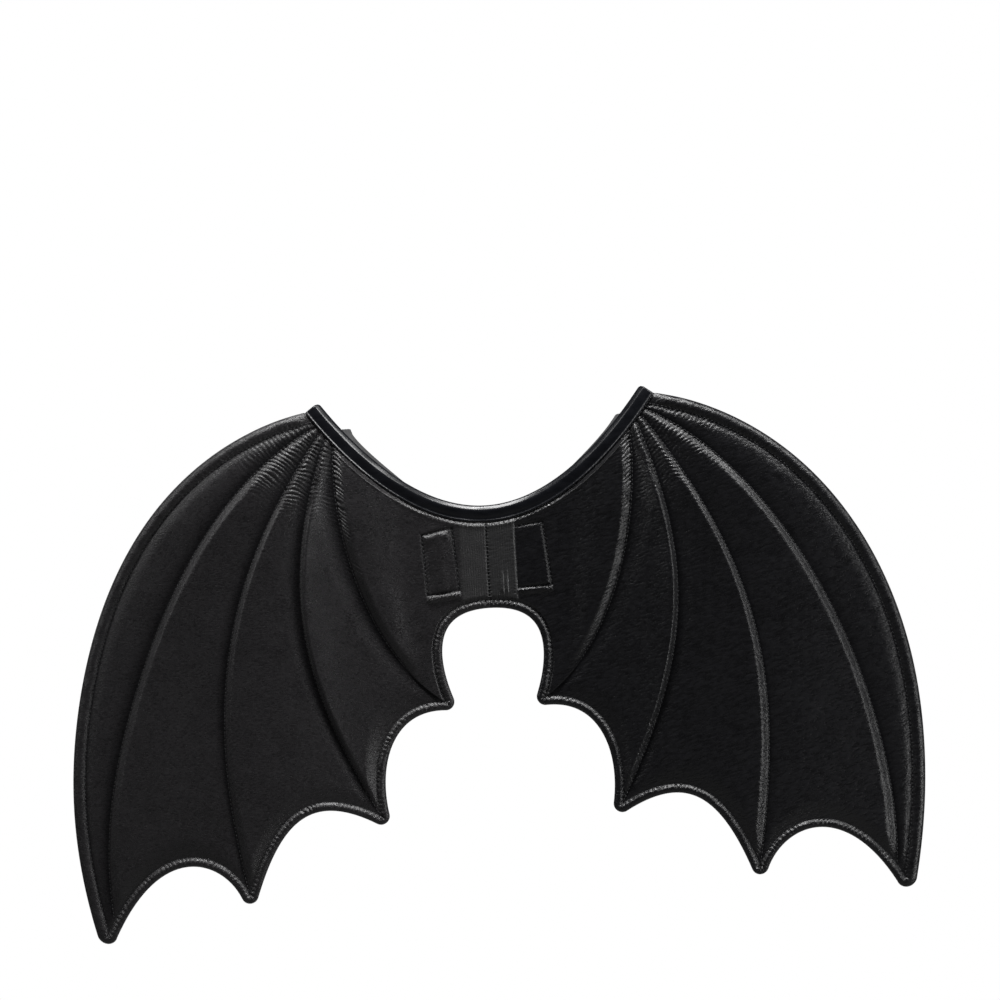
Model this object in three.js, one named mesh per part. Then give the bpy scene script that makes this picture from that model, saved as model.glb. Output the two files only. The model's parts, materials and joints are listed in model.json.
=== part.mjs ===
// Padded bat wings, worn by two elastic shoulder loops
//
// +X is to the right as worn, +Y points forward, to the side that is worn inward, +Z is up.
// The origin is on the inner side of the centre panel, at the spine seam.
// The wings are a quilted panel: a front sheet and a back sheet over one bowed middle surface.

import * as THREE from 'three';

// Outline of one wing, from the spine
const wingReach = 311;           // spine to the widest place of the leading rim stitch
const peakReach = 131.5;         // spine to the outer end of the neck seam
const peakHeight = 118;          // outer end of the neck seam above the origin
const neckDip = 28.6;            // neck seam above the origin, at the spine
const tipDrop = 260.5;           // rim stitch of the outer tip below the origin
const keyholeTop = 29.5;         // rim stitch of the keyhole below the origin, at the spine
const seamGap = 0.3;             // gap between the two halves at the spine seam

// Rims, bindings and seams
const leadingRim = 9.4;          // width of the rim along the leading edge
const scallopRim = 6.5;          // width of the rim along the scallops and the keyhole
const bindingDepth = 9.6;        // panel edge that goes into the neck binding
const bindingTape = 1.3;         // thickness of the binding tape
const clearance = 0.35;          // gap between pieces that lie on each other

// Padding, as half thicknesses
const padHalf = 4.1;             // crown of the panels between the ribs
const ridgeRise = 0.7;           // extra height of the gathered ridge inside each rib
const grooveHalf = 1.4;          // stitched grooves
const rimHalf = 3.1;             // crown of the rims
const edgeHalf = 2.0;            // flattened edge inside the neck binding
const centreHalf = 2.7;          // centre panel and anchor boxes
const centreRise = 0.7;          // extra height of the gathered strip along the spine
const backShare = 0.8;           // relief of the back sheet, as a share of the front
const boxDip = 0.7;              // depth of the stitch line round an anchor box
const footRamp = 16;             // run from the rim stitch to the full padding
const peakRamp = 30;             // run from the neck seam to the full padding
const peakShare = 0.35;          // padding at the neck seam, as a share of the full
const leanPanel = 6;             // panels narrower than this many half thicknesses are less full

// Bow of the middle surface
const centreFlat = 47;           // half width of the flat centre panel
const swell = 12;                // how far each wing bows away from the inner side
const wrap = 8;                  // how far the leading edge comes forward
const lean = 10;                 // how far the peaks lean forward

// Anchor boxes and shoulder loops
const boxInner = 21.5;           // spine to the inner stitch line of a box
const boxWidth = 24.5;
const boxTopInset = 3;           // neck seam at the spine down to the top stitch line
const boxFootInset = 7;          // keyhole rim stitch up to the bottom stitch line
const strapWidth = 22;
const strapThick = 1.5;
const armholeTop = 104;          // crown of a loop above the origin
const armholeFoot = 70;          // lowest place of a loop below the origin
const armholeDepth = 122;        // front of a loop ahead of the origin
const armholeReach = 118;        // spine to the outermost place of a loop

// Steps of the mesh
const rows = 20;                 // steps from the neck seam to the rim stitch
const cornerSteps = 4;           // steps round each rounded tip

const radians = THREE.MathUtils.degToRad;
const smooth = THREE.MathUtils.smoothstep;

// The back of the gathered strip along the spine lies in the plane through the origin
const middleY = -(centreHalf + centreRise) * backShare;

function middleSurface(x, z) {
  const out = Math.max(0, Math.abs(x) - centreFlat) / (wingReach - centreFlat);
  const up = Math.max(0, z - neckDip) / (peakHeight - neckDip);
  const blade = Math.sin(Math.PI * Math.min(out, 1)) ** 2;
  return middleY - swell * blade + wrap * out ** 3 + lean * up ** 2;
}

// A smooth edge between two points, with its headings in degrees and its pulls as shares of the chord
function edge(from, to, leave, arrive, pullOut, pullIn) {
  const chord = Math.hypot(to.x - from.x, to.z - from.z);
  const out = pullOut * chord;
  const back = pullIn * chord;
  const curve = new THREE.CubicBezierCurve(
    new THREE.Vector2(from.x, from.z),
    new THREE.Vector2(from.x + out * Math.cos(radians(leave)), from.z + out * Math.sin(radians(leave))),
    new THREE.Vector2(to.x - back * Math.cos(radians(arrive)), to.z - back * Math.sin(radians(arrive))),
    new THREE.Vector2(to.x, to.z),
  );
  curve.arcLengthDivisions = 300;
  return {
    length: curve.getLength(),
    at: (share) => {
      const p = curve.getPointAt(share);
      return { x: p.x, z: p.y };
    },
    heading: (share) => {
      const t = curve.getTangentAt(share);
      return Math.atan2(t.y, t.x);
    },
  };
}

// Corners of the rim stitch: across as a share of the reach, down as a share of the tip's drop
const corners = {
  outerTip: { across: 0.963, down: 1 },
  secondTip: { across: 0.6155, down: 0.9215 },
  thirdTip: { across: 0.2917, down: 0.72 },
  cusp: { across: 0.1206, down: 0.401 },
};

function corner(name) {
  return { x: corners[name].across * wingReach, z: -corners[name].down * tipDrop };
}

const spine = seamGap / 2;
const neckSeam = edge(
  { x: spine, z: neckDip }, { x: peakReach, z: peakHeight }, 0, 54, 0.35, 0.31,
);
const scallops = [
  edge(corner('outerTip'), corner('secondTip'), 119, 247, 0.78, 0.34),
  edge(corner('secondTip'), corner('thirdTip'), 110, 210, 0.5, 0.56),
  edge(corner('thirdTip'), corner('cusp'), 80, 183, 0.44, 0.45),
  edge(corner('cusp'), { x: spine, z: -keyholeTop }, 70, 180, 0.44, 0.6),
];

// A place on the neck seam, by its distance from the peak
function onNeckSeam(fromPeak) {
  return neckSeam.at(1 - fromPeak / neckSeam.length);
}

// Where the ribs leave the neck seam, by distance from the peak, and how they run to their tips
const firstRib = leadingRim - 0.4;
const secondRibFoot = 0.07;
const ribs = [
  { fromPeak: firstRib, to: corner('outerTip'), leave: -12, arrive: -103, pullOut: 0.38, pullIn: 0.42 },
  { fromPeak: 13.5, to: scallops[0].at(secondRibFoot), leave: -26, arrive: -96, pullOut: 0.32, pullIn: 0.29 },
  { fromPeak: 18.5, to: corner('secondTip'), leave: -54, arrive: -101, pullOut: 0.41, pullIn: 0.4 },
  { fromPeak: 24, to: corner('thirdTip'), leave: -70, arrive: -118, pullOut: 0.42, pullIn: 0.41 },
  { fromPeak: 32, to: corner('cusp'), leave: -85, arrive: -146, pullOut: 0.3, pullIn: 0.33 },
];

// Upright lines through the sides of the anchor box, from the neck seam to the keyhole
function boxLine(x, keyholeShare) {
  let low = 0;
  let high = 1;
  for (let i = 0; i < 40; i += 1) {
    const mid = (low + high) / 2;
    if (neckSeam.at(mid).x < x) low = mid;
    else high = mid;
  }
  const top = neckSeam.at(low);
  const foot = scallops[3].at(keyholeShare);
  return { top: low, curve: edge(top, foot, -90, -90, 0.4, 0.2) };
}
const outerBoxFoot = 0.5;
const innerBoxFoot = 0.795;
const outerBoxLine = boxLine(boxInner + boxWidth, outerBoxFoot);
const innerBoxLine = boxLine(boxInner, innerBoxFoot);
const boxTop = neckDip - boxTopInset;
const boxFoot = -keyholeTop + boxFootInset;

// Lines from the neck seam to the rim stitch, from the leading rim to the spine
const lines = ribs.map((rib) => ({
  top: 1 - rib.fromPeak / neckSeam.length,
  curve: edge(onNeckSeam(rib.fromPeak), rib.to, rib.leave, rib.arrive, rib.pullOut, rib.pullIn),
}));
lines.push(outerBoxLine, innerBoxLine);
lines.push({
  top: 0,
  curve: edge({ x: spine, z: neckDip }, { x: spine, z: -keyholeTop }, -90, -90, 0.3, 0.3),
});

// Foot of each panel between two lines: which scallop, and from which share to which
const feet = [
  { scallop: 0, from: 0, to: secondRibFoot },
  { scallop: 0, from: secondRibFoot, to: 1 },
  { scallop: 1, from: 0, to: 1 },
  { scallop: 2, from: 0, to: 1 },
  { scallop: 3, from: 0, to: outerBoxFoot },
  { scallop: 3, from: outerBoxFoot, to: innerBoxFoot },
  { scallop: 3, from: innerBoxFoot, to: 1 },
];

// Steps across the panels, as shares of their width
const ribPanel = [0, 0.05, 0.13, 0.27, 0.42, 0.58, 0.74, 0.88, 1];
const panels = [
  { across: [0, 0.5, 1], rise: 0.3 },
  { across: ribPanel, rise: 1 },
  { across: ribPanel, rise: 1 },
  { across: ribPanel, rise: 1 },
  { across: [0, 0.07, 0.2, 0.4, 0.65, 0.85, 1], rise: 0.6 },
  { across: [0, 0.5, 1], rise: 0 },
  { across: [0, 0.2, 0.6, 1], rise: 0 },
];

// Steps down the lines; two of them run along the top and the bottom of the anchor box
const boxTopRow = 2;
const boxFootRow = 15;
function rowShare(row, line) {
  const even = row / rows;
  if (line < 4) return even ** 0.9;
  const run = lines[line].curve;
  const height = run.at(0).z - run.at(1).z;
  const topShare = line === 4 ? 0.09 : (run.at(0).z - boxTop) / height;
  const footShare = line === 4 ? 0.7 : (run.at(0).z - boxFoot) / height;
  if (row <= boxTopRow) return topShare * row / boxTopRow;
  if (row >= boxFootRow) return 1 - (1 - footShare) * (rows - row) / (rows - boxFootRow);
  return topShare + (footShare - topShare) * (row - boxTopRow) / (boxFootRow - boxTopRow);
}

// A point of the panel between line and the next one: a patch blended from its four sides
function panelPoint(line, across, row) {
  const foot = feet[line];
  const left = lines[line];
  const right = lines[line + 1];
  const a = left.curve.at(rowShare(row, line));
  const b = right.curve.at(rowShare(row, line + 1));
  const down = row / rows;
  const top = neckSeam.at(left.top + (right.top - left.top) * across);
  const bottom = scallops[foot.scallop].at(foot.from + (foot.to - foot.from) * across);
  const a0 = left.curve.at(0);
  const b0 = right.curve.at(0);
  const a1 = left.curve.at(1);
  const b1 = right.curve.at(1);
  const blend = (k) => (1 - across) * a[k] + across * b[k]
    + (1 - down) * (top[k] - (1 - across) * a0[k] - across * b0[k])
    + down * (bottom[k] - (1 - across) * a1[k] - across * b1[k]);
  return { x: blend('x'), z: blend('z'), width: Math.hypot(a.x - b.x, a.z - b.z) };
}

// Half thickness inside a panel: a sharp ridge inside the outer rib, a slow fall to the inner one
function panelHalf(line, across, row, point) {
  const onLine = across === 0 || across === 1;
  if (row === 0) return edgeHalf;
  if (row === rows) return grooveHalf;
  if (line >= 5) return boxHalf(line, across, row);
  const run = feet[line];
  const foot = scallops[run.scallop].at(run.from + (run.to - run.from) * across);
  const top = neckSeam.at(lines[line].top);
  const toFoot = Math.hypot(point.x - foot.x, point.z - foot.z);
  const toTop = Math.hypot(point.x - top.x, point.z - top.z);
  if (onLine) {
    const atBox = line === 4 && across === 1;
    return atBox ? boxHalf(line, across, row) : grooveHalf;
  }
  const full = line === 4 ? THREE.MathUtils.lerp(padHalf, centreHalf, smooth(across, 0.3, 1)) : padHalf;
  const room = Math.min(1, point.width / (leanPanel * padHalf));
  const fall = line === 4 ? 1 : smooth(1 - across, 0, 0.3);
  const ends = smooth(toFoot, 0, footRamp)
    * (peakShare + (1 - peakShare) * smooth(toTop, 0, peakRamp));
  const ridge = panels[line].rise * ridgeRise * smooth(0.3 - across, 0, 0.25) * room;
  return grooveHalf + (full - grooveHalf) * room * Math.sqrt(fall) * ends + ridge * ends;
}

// Half thickness on the anchor box and on the gathered strip beside the spine
function boxHalf(line, across, row) {
  const between = row >= boxTopRow && row <= boxFootRow;
  const onSide = (line === 4 && across === 1) || (line === 5 && (across === 0 || across === 1))
    || (line === 6 && across === 0);
  const inBox = line === 5 || (line === 4 && across === 1) || (line === 6 && across === 0);
  if (between && onSide) return centreHalf - boxDip;
  if (inBox && (row === boxTopRow || row === boxFootRow)) return centreHalf - boxDip;
  if (line === 6 && across === 1) return centreHalf;
  return line === 6 ? centreHalf + centreRise : centreHalf;
}

// Cross-section of a rim, from the stitch (0) to the edge (1)
const rimSection = [
  { out: 0.3, half: 1 },
  { out: 0.68, half: 0.92 },
  { out: 0.92, half: 0.5 },
  { out: 1, half: 0 },
];

// Cross-section of the flattened edge inside the binding, from the seam (0) to the edge (1)
const edgeSection = [
  { up: 0.5, half: 1 },
  { up: 0.93, half: 0.8 },
  { up: 1, half: 0 },
];

// A closed solid from points in mm and triangles, turned so that its faces point out
function solid(points, triangles) {
  let volume = 0;
  const [a, b, c] = [new THREE.Vector3(), new THREE.Vector3(), new THREE.Vector3()];
  for (const [i, j, k] of triangles) {
    a.fromArray(points[i]);
    b.fromArray(points[j]);
    c.fromArray(points[k]);
    volume += a.dot(b.cross(c));
  }
  const facing = volume > 0 ? triangles : triangles.map(([i, j, k]) => [i, k, j]);
  const geometry = new THREE.BufferGeometry();
  geometry.setAttribute('position', new THREE.Float32BufferAttribute(points.flat(), 3));
  geometry.setIndex(facing.flat());
  geometry.computeVertexNormals();
  return geometry;
}

// One wing on the +X side: every place has a front point and a back point, or one point on the edge
function wingSheets() {
  const points = [];
  const triangles = [];
  const spineColumn = [];

  function place(x, z, half) {
    const y = middleSurface(x, z);
    points.push([x, y - half, z]);
    const front = points.length - 1;
    if (half === 0) return { front, back: front, x, z };
    points.push([x, y + half * backShare, z]);
    return { front, back: points.length - 1, x, z };
  }
  function triangle(i, j, k) {
    if (i !== j && j !== k && k !== i) triangles.push([i, j, k]);
  }
  function quad(a, b, c, d) {
    triangle(a.front, b.front, c.front);
    triangle(a.front, c.front, d.front);
    triangle(a.back, c.back, b.back);
    triangle(a.back, d.back, c.back);
  }

  // The quilted panels, row by row, sharing their lines
  const grid = [];
  const topShares = [];
  for (let row = 0; row <= rows; row += 1) {
    const line = [];
    panels.forEach((panel, index) => {
      panel.across.forEach((across, step) => {
        if (index > 0 && step === 0) return;
        const point = panelPoint(index, across, row);
        line.push(place(point.x, point.z, panelHalf(index, across, row, point)));
        if (row === 0) {
          topShares.push(THREE.MathUtils.lerp(lines[index].top, lines[index + 1].top, across));
        }
      });
    });
    grid.push(line);
  }
  for (let row = 0; row < rows; row += 1) {
    for (let i = 0; i + 1 < grid[row].length; i += 1) {
      quad(grid[row][i], grid[row + 1][i], grid[row + 1][i + 1], grid[row][i + 1]);
    }
  }

  // The rim stitch as one path: down the leading rim, then along the scallops and the keyhole
  const rimPath = [];
  const leading = lines[0].curve;
  const seamHeading = neckSeam.heading(1);
  for (let row = 0; row <= rows; row += 1) {
    const share = rowShare(row, 0);
    const square = leading.heading(share) + Math.PI / 2;
    const turn = row === 0 ? 1 : 1 - smooth(share, 0, 0.12);
    const width = row === 0 ? firstRib : leadingRim;
    rimPath.push({ from: grid[row][0], angle: square + (seamHeading - square) * turn, width });
  }
  let column = 0;
  panels.forEach((panel, index) => {
    const foot = feet[index];
    const scallop = scallops[foot.scallop];
    panel.across.forEach((across, step) => {
      const share = foot.from + (foot.to - foot.from) * across;
      const angle = scallop.heading(share) + Math.PI / 2;
      if (step > 0) column += 1;
      if (step === 0 && foot.from === 0) turnCorner(grid[rows][column], angle);
      else if (step > 0 || index === 0) rimPath.push({ from: grid[rows][column], angle, width: scallopRim });
    });
  });

  // The rim swings round a tip from one edge to the next
  function turnCorner(from, angleAfter) {
    const before = rimPath[rimPath.length - 1];
    let turn = angleAfter - before.angle;
    while (turn > 0) turn -= 2 * Math.PI;
    while (turn < -2 * Math.PI) turn += 2 * Math.PI;
    for (let i = 1; i <= cornerSteps; i += 1) {
      const share = i / cornerSteps;
      const width = THREE.MathUtils.lerp(before.width, scallopRim, share);
      rimPath.push({ from, angle: before.angle + turn * share, width });
    }
  }

  const rings = rimPath.map((step, index) => {
    const ring = [step.from];
    const crown = index === 0 ? edgeHalf : rimHalf;
    for (const section of rimSection) {
      const reach = section.out * step.width;
      const x = step.from.x + reach * Math.cos(step.angle);
      const z = step.from.z + reach * Math.sin(step.angle);
      ring.push(place(x, z, section.half * crown));
    }
    return ring;
  });
  for (let i = 0; i + 1 < rings.length; i += 1) {
    for (let k = 0; k + 1 < rings[i].length; k += 1) {
      quad(rings[i][k], rings[i][k + 1], rings[i + 1][k + 1], rings[i + 1][k]);
    }
  }

  // The flattened edge above the neck seam, from the peak to the spine
  const firstRing = rings[0];
  const seamRow = [...firstRing.slice(1).reverse(), ...grid[0]];
  const rimShares = rimSection.map((s) => 1 - firstRib * (1 - s.out) / neckSeam.length).reverse();
  const seamShares = [...rimShares, ...topShares];
  const band = [seamRow];
  for (const section of edgeSection) {
    band.push(seamRow.map((from, i) => {
      const square = neckSeam.heading(seamShares[i]) + Math.PI / 2;
      const x = from.x + section.up * bindingDepth * Math.cos(square);
      const z = from.z + section.up * bindingDepth * Math.sin(square);
      return place(x, z, i === 0 ? 0 : section.half * edgeHalf * (i < 3 ? 0.6 : 1));
    }));
  }
  for (let k = 0; k + 1 < band.length; k += 1) {
    for (let i = 0; i + 1 < seamRow.length; i += 1) {
      quad(band[k][i], band[k][i + 1], band[k + 1][i + 1], band[k + 1][i]);
    }
  }

  // The wall along the spine seam
  for (let k = band.length - 1; k > 0; k -= 1) spineColumn.push(band[k][seamRow.length - 1]);
  for (let row = 0; row <= rows; row += 1) spineColumn.push(grid[row][grid[row].length - 1]);
  spineColumn.push(...rings[rings.length - 1].slice(1));
  for (let i = 0; i + 1 < spineColumn.length; i += 1) {
    const a = spineColumn[i];
    const b = spineColumn[i + 1];
    triangle(a.front, b.front, b.back);
    triangle(a.front, b.back, a.back);
  }
  return { points, triangles };
}

function mirrored(sheets) {
  return {
    points: sheets.points.map(([x, y, z]) => [-x, y, z]),
    triangles: sheets.triangles.map(([i, j, k]) => [i, k, j]),
  };
}

// A closed strip swept through stations, each a ring of points
function sweep(stations) {
  const count = stations[0].length;
  const triangles = [];
  for (let i = 0; i + 1 < stations.length; i += 1) {
    for (let k = 0; k < count; k += 1) {
      const next = (k + 1) % count;
      const [a, b] = [i * count + k, i * count + next];
      const [c, d] = [(i + 1) * count + next, (i + 1) * count + k];
      triangles.push([a, b, c], [a, c, d]);
    }
  }
  return { points: stations.flat(), triangles };
}

// The binding's folded section: out from the neck seam, and half width from the middle surface
function bindingSection() {
  const inside = edgeHalf + clearance;
  const outside = inside + bindingTape;
  const fold = bindingDepth + clearance;
  const crown = fold + bindingTape;
  return [
    [clearance, -outside], [crown * 0.8, -outside], [crown * 0.96, -outside * 0.62],
    [crown, 0],
    [crown * 0.96, outside * 0.62], [crown * 0.8, outside], [clearance, outside],
    [clearance, inside], [fold, inside], [fold, -inside], [clearance, -inside],
  ];
}

// Places along the neck seam where the binding is stepped: the panel's own columns, not too close
function bindingShares() {
  const shares = [0];
  const closest = 5 / neckSeam.length;
  const columns = panels.flatMap((panel, index) => panel.across.map(
    (across) => THREE.MathUtils.lerp(lines[index].top, lines[index + 1].top, across),
  ));
  for (const share of columns.reverse()) {
    if (share - shares[shares.length - 1] >= closest) shares.push(share);
  }
  if (1 - shares[shares.length - 1] < closest) shares.pop();
  shares.push(1);
  return shares;
}

function neckBinding() {
  const section = bindingSection();
  const shares = bindingShares();
  const steps = shares.length - 1;
  const stations = [];
  for (let i = -steps; i <= steps; i += 1) {
    const share = shares[Math.abs(i)];
    const side = i < 0 ? -1 : 1;
    const from = share === 0 ? { x: 0, z: neckDip } : neckSeam.at(share);
    const square = neckSeam.heading(share) + Math.PI / 2;
    stations.push(section.map(([up, out]) => {
      const x = from.x + up * Math.cos(square);
      const z = from.z + up * Math.sin(square);
      return [side * x, middleSurface(x, z) + out, z];
    }));
  }
  const strip = sweep(stations);
  const contour = section.map(([up, out]) => new THREE.Vector2(up, out));
  const cap = THREE.ShapeUtils.triangulateShape(contour, []);
  const last = (stations.length - 1) * section.length;
  const flip = THREE.ShapeUtils.isClockWise(contour) ? 1 : 0;
  for (const [i, j, k] of cap) {
    const near = flip ? [i, j, k] : [i, k, j];
    strip.triangles.push(near, [near[0] + last, near[2] + last, near[1] + last]);
  }
  return strip;
}

// Route of a shoulder loop on the +X side: up from the box, over the top, down in front and back below.
// Behind the panel: across and up as shares of the peak, and how far off the panel.
// Round the armhole: across, forward and up (or down) as shares of the loop's own reach, depth and height.
const seatY = middleY + centreHalf * backShare + clearance + strapThick / 2;
const overBinding = edgeHalf + 2 * clearance + bindingTape + strapThick / 2 + 1.5;
const boxMiddle = boxInner + boxWidth / 2;
const upperRun = [
  { across: 0.28, up: 0.045, off: 0 },
  { across: 0.43, up: 0.19, off: 1.5 },
  { across: 0.6, up: 0.42, off: 4 },
];
const roundShoulder = [
  { across: 0.903, forward: 0.12, up: 0.92 },
  { across: 0.95, forward: 0.32, up: 1 },
  { across: 0.96, forward: 0.62, up: 0.92 },
  { across: 1, forward: 0.88, up: 0.6 },
  { across: 1, forward: 1, up: 0.12 },
];
const underArm = [
  { across: 1, forward: 0.92, down: 0.45 },
  { across: 0.93, forward: 0.66, down: 0.9 },
  { across: 0.78, forward: 0.36, down: 1 },
  { across: 0.55, forward: 0.15, down: 0.78 },
];
const endGap = 6;                // between the two sewn ends of a loop

function loopRoute() {
  const rise = peakHeight - neckDip;
  const route = [
    [boxMiddle, seatY, endGap / 2],
    [boxMiddle, seatY, boxTop * 0.5],
    [boxMiddle, seatY + clearance, boxTop * 0.86],
  ];
  for (const { across, up, off } of upperRun) {
    route.push([peakReach * across, middleY + overBinding + off, neckDip + rise * up]);
  }
  for (const { across, forward, up } of roundShoulder) {
    route.push([armholeReach * across, armholeDepth * forward, armholeTop * up]);
  }
  for (const { across, forward, down } of underArm) {
    route.push([armholeReach * across, armholeDepth * forward, -armholeFoot * down]);
  }
  route.push(
    [boxMiddle + 4, seatY + 4.6, boxFoot * 1.5],
    [boxMiddle, seatY + clearance, boxFoot * 0.9],
    [boxMiddle, seatY, boxFoot * 0.5],
    [boxMiddle, seatY, -endGap / 2],
  );
  return route.map((p) => new THREE.Vector3(...p));
}

function shoulderLoop() {
  const route = new THREE.CatmullRomCurve3(loopRoute(), false, 'centripetal');
  const steps = 46;
  const stations = [];
  const axis = new THREE.Vector3(0, armholeDepth * 0.5, armholeTop * 0.15);
  for (let i = 0; i <= steps; i += 1) {
    const share = i / steps;
    const middle = route.getPointAt(share);
    const along = route.getTangentAt(share);
    const outward = middle.clone().sub(axis).setX(0);
    outward.addScaledVector(along, -outward.dot(along)).normalize();
    const across = new THREE.Vector3().crossVectors(along, outward);
    const corner4 = [[-1, -1], [1, -1], [1, 1], [-1, 1]];
    stations.push(corner4.map(([w, t]) => middle.clone()
      .addScaledVector(across, w * strapWidth / 2)
      .addScaledVector(outward, t * strapThick / 2)
      .toArray()));
  }
  const strip = sweep(stations);
  const last = steps * 4;
  strip.triangles.push([0, 2, 1], [0, 3, 2], [last, last + 1, last + 2], [last, last + 2, last + 3]);
  return strip;
}

// Finishes
const quiltedCloth = { color: 0x232224, roughness: 0.72, metalness: 0 };
const satinTape = { color: 0x17171b, roughness: 0.42, metalness: 0 };
const elastic = { color: 0x1a191b, roughness: 0.85, metalness: 0 };

function piece(name, shape, finish) {
  const mesh = new THREE.Mesh(solid(shape.points, shape.triangles), new THREE.MeshStandardMaterial(finish));
  mesh.name = name;
  return mesh;
}

const batWings = new THREE.Group();
const rightWing = wingSheets();
const rightLoop = shoulderLoop();
batWings.add(
  piece('wing_left', mirrored(rightWing), quiltedCloth),
  piece('wing_right', rightWing, quiltedCloth),
  piece('neck_binding', neckBinding(), satinTape),
  piece('strap_left', mirrored(rightLoop), elastic),
  piece('strap_right', rightLoop, elastic),
);

export default batWings;
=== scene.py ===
import json
import math

import bmesh
import bpy
import numpy as np
from mathutils import Matrix, Vector

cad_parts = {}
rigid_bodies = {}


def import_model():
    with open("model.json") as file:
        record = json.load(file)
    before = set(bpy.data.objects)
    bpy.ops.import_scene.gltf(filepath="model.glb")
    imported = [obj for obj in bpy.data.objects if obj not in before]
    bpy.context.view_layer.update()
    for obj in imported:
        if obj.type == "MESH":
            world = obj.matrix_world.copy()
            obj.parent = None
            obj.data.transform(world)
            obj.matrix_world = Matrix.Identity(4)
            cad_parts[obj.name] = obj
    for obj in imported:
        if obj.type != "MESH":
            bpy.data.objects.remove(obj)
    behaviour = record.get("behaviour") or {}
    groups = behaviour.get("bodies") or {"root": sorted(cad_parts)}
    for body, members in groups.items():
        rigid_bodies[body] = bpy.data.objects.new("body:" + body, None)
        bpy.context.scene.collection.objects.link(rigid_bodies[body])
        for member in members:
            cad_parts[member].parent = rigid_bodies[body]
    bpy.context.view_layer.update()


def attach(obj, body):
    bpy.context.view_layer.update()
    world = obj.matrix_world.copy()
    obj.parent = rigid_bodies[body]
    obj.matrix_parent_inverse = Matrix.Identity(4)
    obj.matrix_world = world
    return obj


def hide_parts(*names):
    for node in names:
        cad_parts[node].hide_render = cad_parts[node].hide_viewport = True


for leftover in list(bpy.data.objects):
    bpy.data.objects.remove(leftover)
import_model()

# Padded bat wings: quilted cloth halves, their stitching, a satin neck binding and elastic loops.
# All sizes below are in millimetres, in the frame of the part; MM turns them into metres.
MM = 0.001
TAU = 2 * math.pi

# Outline of one wing, from the spine
WING_REACH = 311.0
PEAK_REACH = 131.5
PEAK_HEIGHT = 118.0
NECK_DIP = 28.6
TIP_DROP = 260.5
KEYHOLE_TOP = 29.5
SPINE = 0.0

# Rims, binding and seams
LEADING_RIM = 9.4
SCALLOP_RIM = 6.5
BINDING_DEPTH = 9.6
BINDING_CROWN = 12.5
END_ROUNDING = 3.6
CLEARANCE = 0.35

# Padding, as half thicknesses
PAD_HALF = 4.1
RISES = [
    # width of the rise beside the rib and fullness of its crown, for each panel from the leading edge
    (6.0, 0.75),
    (11.0, 1.45),
    (11.0, 1.5),
    (11.0, 2.2),
    (9.5, 1.8),
]
FALL_WIDTH = 12.0
PAD_LEAN = 0.62
GROOVE_HALF = 1.2
LEADING_GROOVE_HALF = 1.4
PLAIN_HALF = 1.6
THINNEST = 0.5
RIM_HALF = 3.4
EDGE_HALF = 1.5
CENTRE_HALF = 2.7
CENTRE_RISE = 0.7
SEAM_ROLL = 0.7
SEAM_ROLL_AT = (2.8, 1.7)
BACK_SHARE = 0.8
FOOT_RAMP = 16.0
PEAK_RAMP = 30.0
PEAK_SHARE = 0.8
ROOMY_PANEL = 13.0
FLAT_FEET_FROM = 3
FLAT_FOOT_SHARE = 0.35
FLAT_FOOT_RUN = (10, 90)

# Bow of the middle surface
CENTRE_FLAT = 47.0
SWELL = 12.0
WRAP = 8.0
LEAN = 10.0
MIDDLE_Y = -(CENTRE_HALF + CENTRE_RISE) * BACK_SHARE

# Anchor boxes and shoulder loops
BOX_INNER = 21.5
BOX_WIDTH = 24.5
BOX_TOP = NECK_DIP - 3
BOX_FOOT = -KEYHOLE_TOP + 7
STRAP_WIDTH = 22.0
STRAP_THICK = 1.5
ARMHOLE_TOP = 104.0
ARMHOLE_FOOT = 70.0
ARMHOLE_DEPTH = 122.0
ARMHOLE_REACH = 118.0
STRAP_OVER_BINDING = 6.25
END_GAP = 6.0

# Gathers, puckers and stitches of the real thing
LADDER_PITCH = 3.4
LADDER_DEPTH = 1.5
LADDER_RUN = (38.0, 84.0)
LEADING_LADDER = 0.55
PUCKER_PITCH = 3.5
NECK_TUCK_PITCH = 3.3
NECK_TUCK_DEPTH = 0.9
BOX_TUCK_PITCH = 2.9
INNER_PUCKER_DEPTH = 0.25
LEADING_TUCK_DEPTH = 0.45
SCALLOP_TUCK_DEPTH = 1.25
STITCH_PITCH = 3.0
STITCH_LENGTH = 2.3
THREAD = 0.5
NECK_STITCH_PITCH = 2.7
NECK_STITCH_LENGTH = 2.0
SPINE_STITCH = 2.6
SPINE_STITCH_LENGTH = 3.4
RIB_PUCKERS = {"left": 0.32, "right": 0.75}
GATHERED_TO = {"left": 0.9, "right": 0.6}
# Reach of the painted shade beside each rib: on its outer side, for each half, and on its spine side
SHADE_WIDTH = {"left": 5.5, "right": 2.5}
GROOVE_SHADE = 1.7
BOX_LINE_DEPTH = 0.85

# Strips of tucks beside a seam, by distance from it: where they start, are full, fade and are gone
OUTER_PUCKERS = (0.02, 0.3, 0.6, 1.15)    # these ones as shares of the rise beside the rib
INNER_PUCKERS = (0.1, 0.9, 1.2, 4.0)
NECK_TUCKS = (0.2, 1.0, 1.5, 6.0)
CENTRE_NECK_TUCKS = (0.3, 1.0, 1.5, 4.5)
KEYHOLE_TUCKS = (0.2, 1.0, 1.2, 3.2)
BOX_TUCKS = (0.1, 0.8, 2.4, 4.8)
RIM_TUCKS = (0.1, 0.7, 2.2, 5.4)

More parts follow.
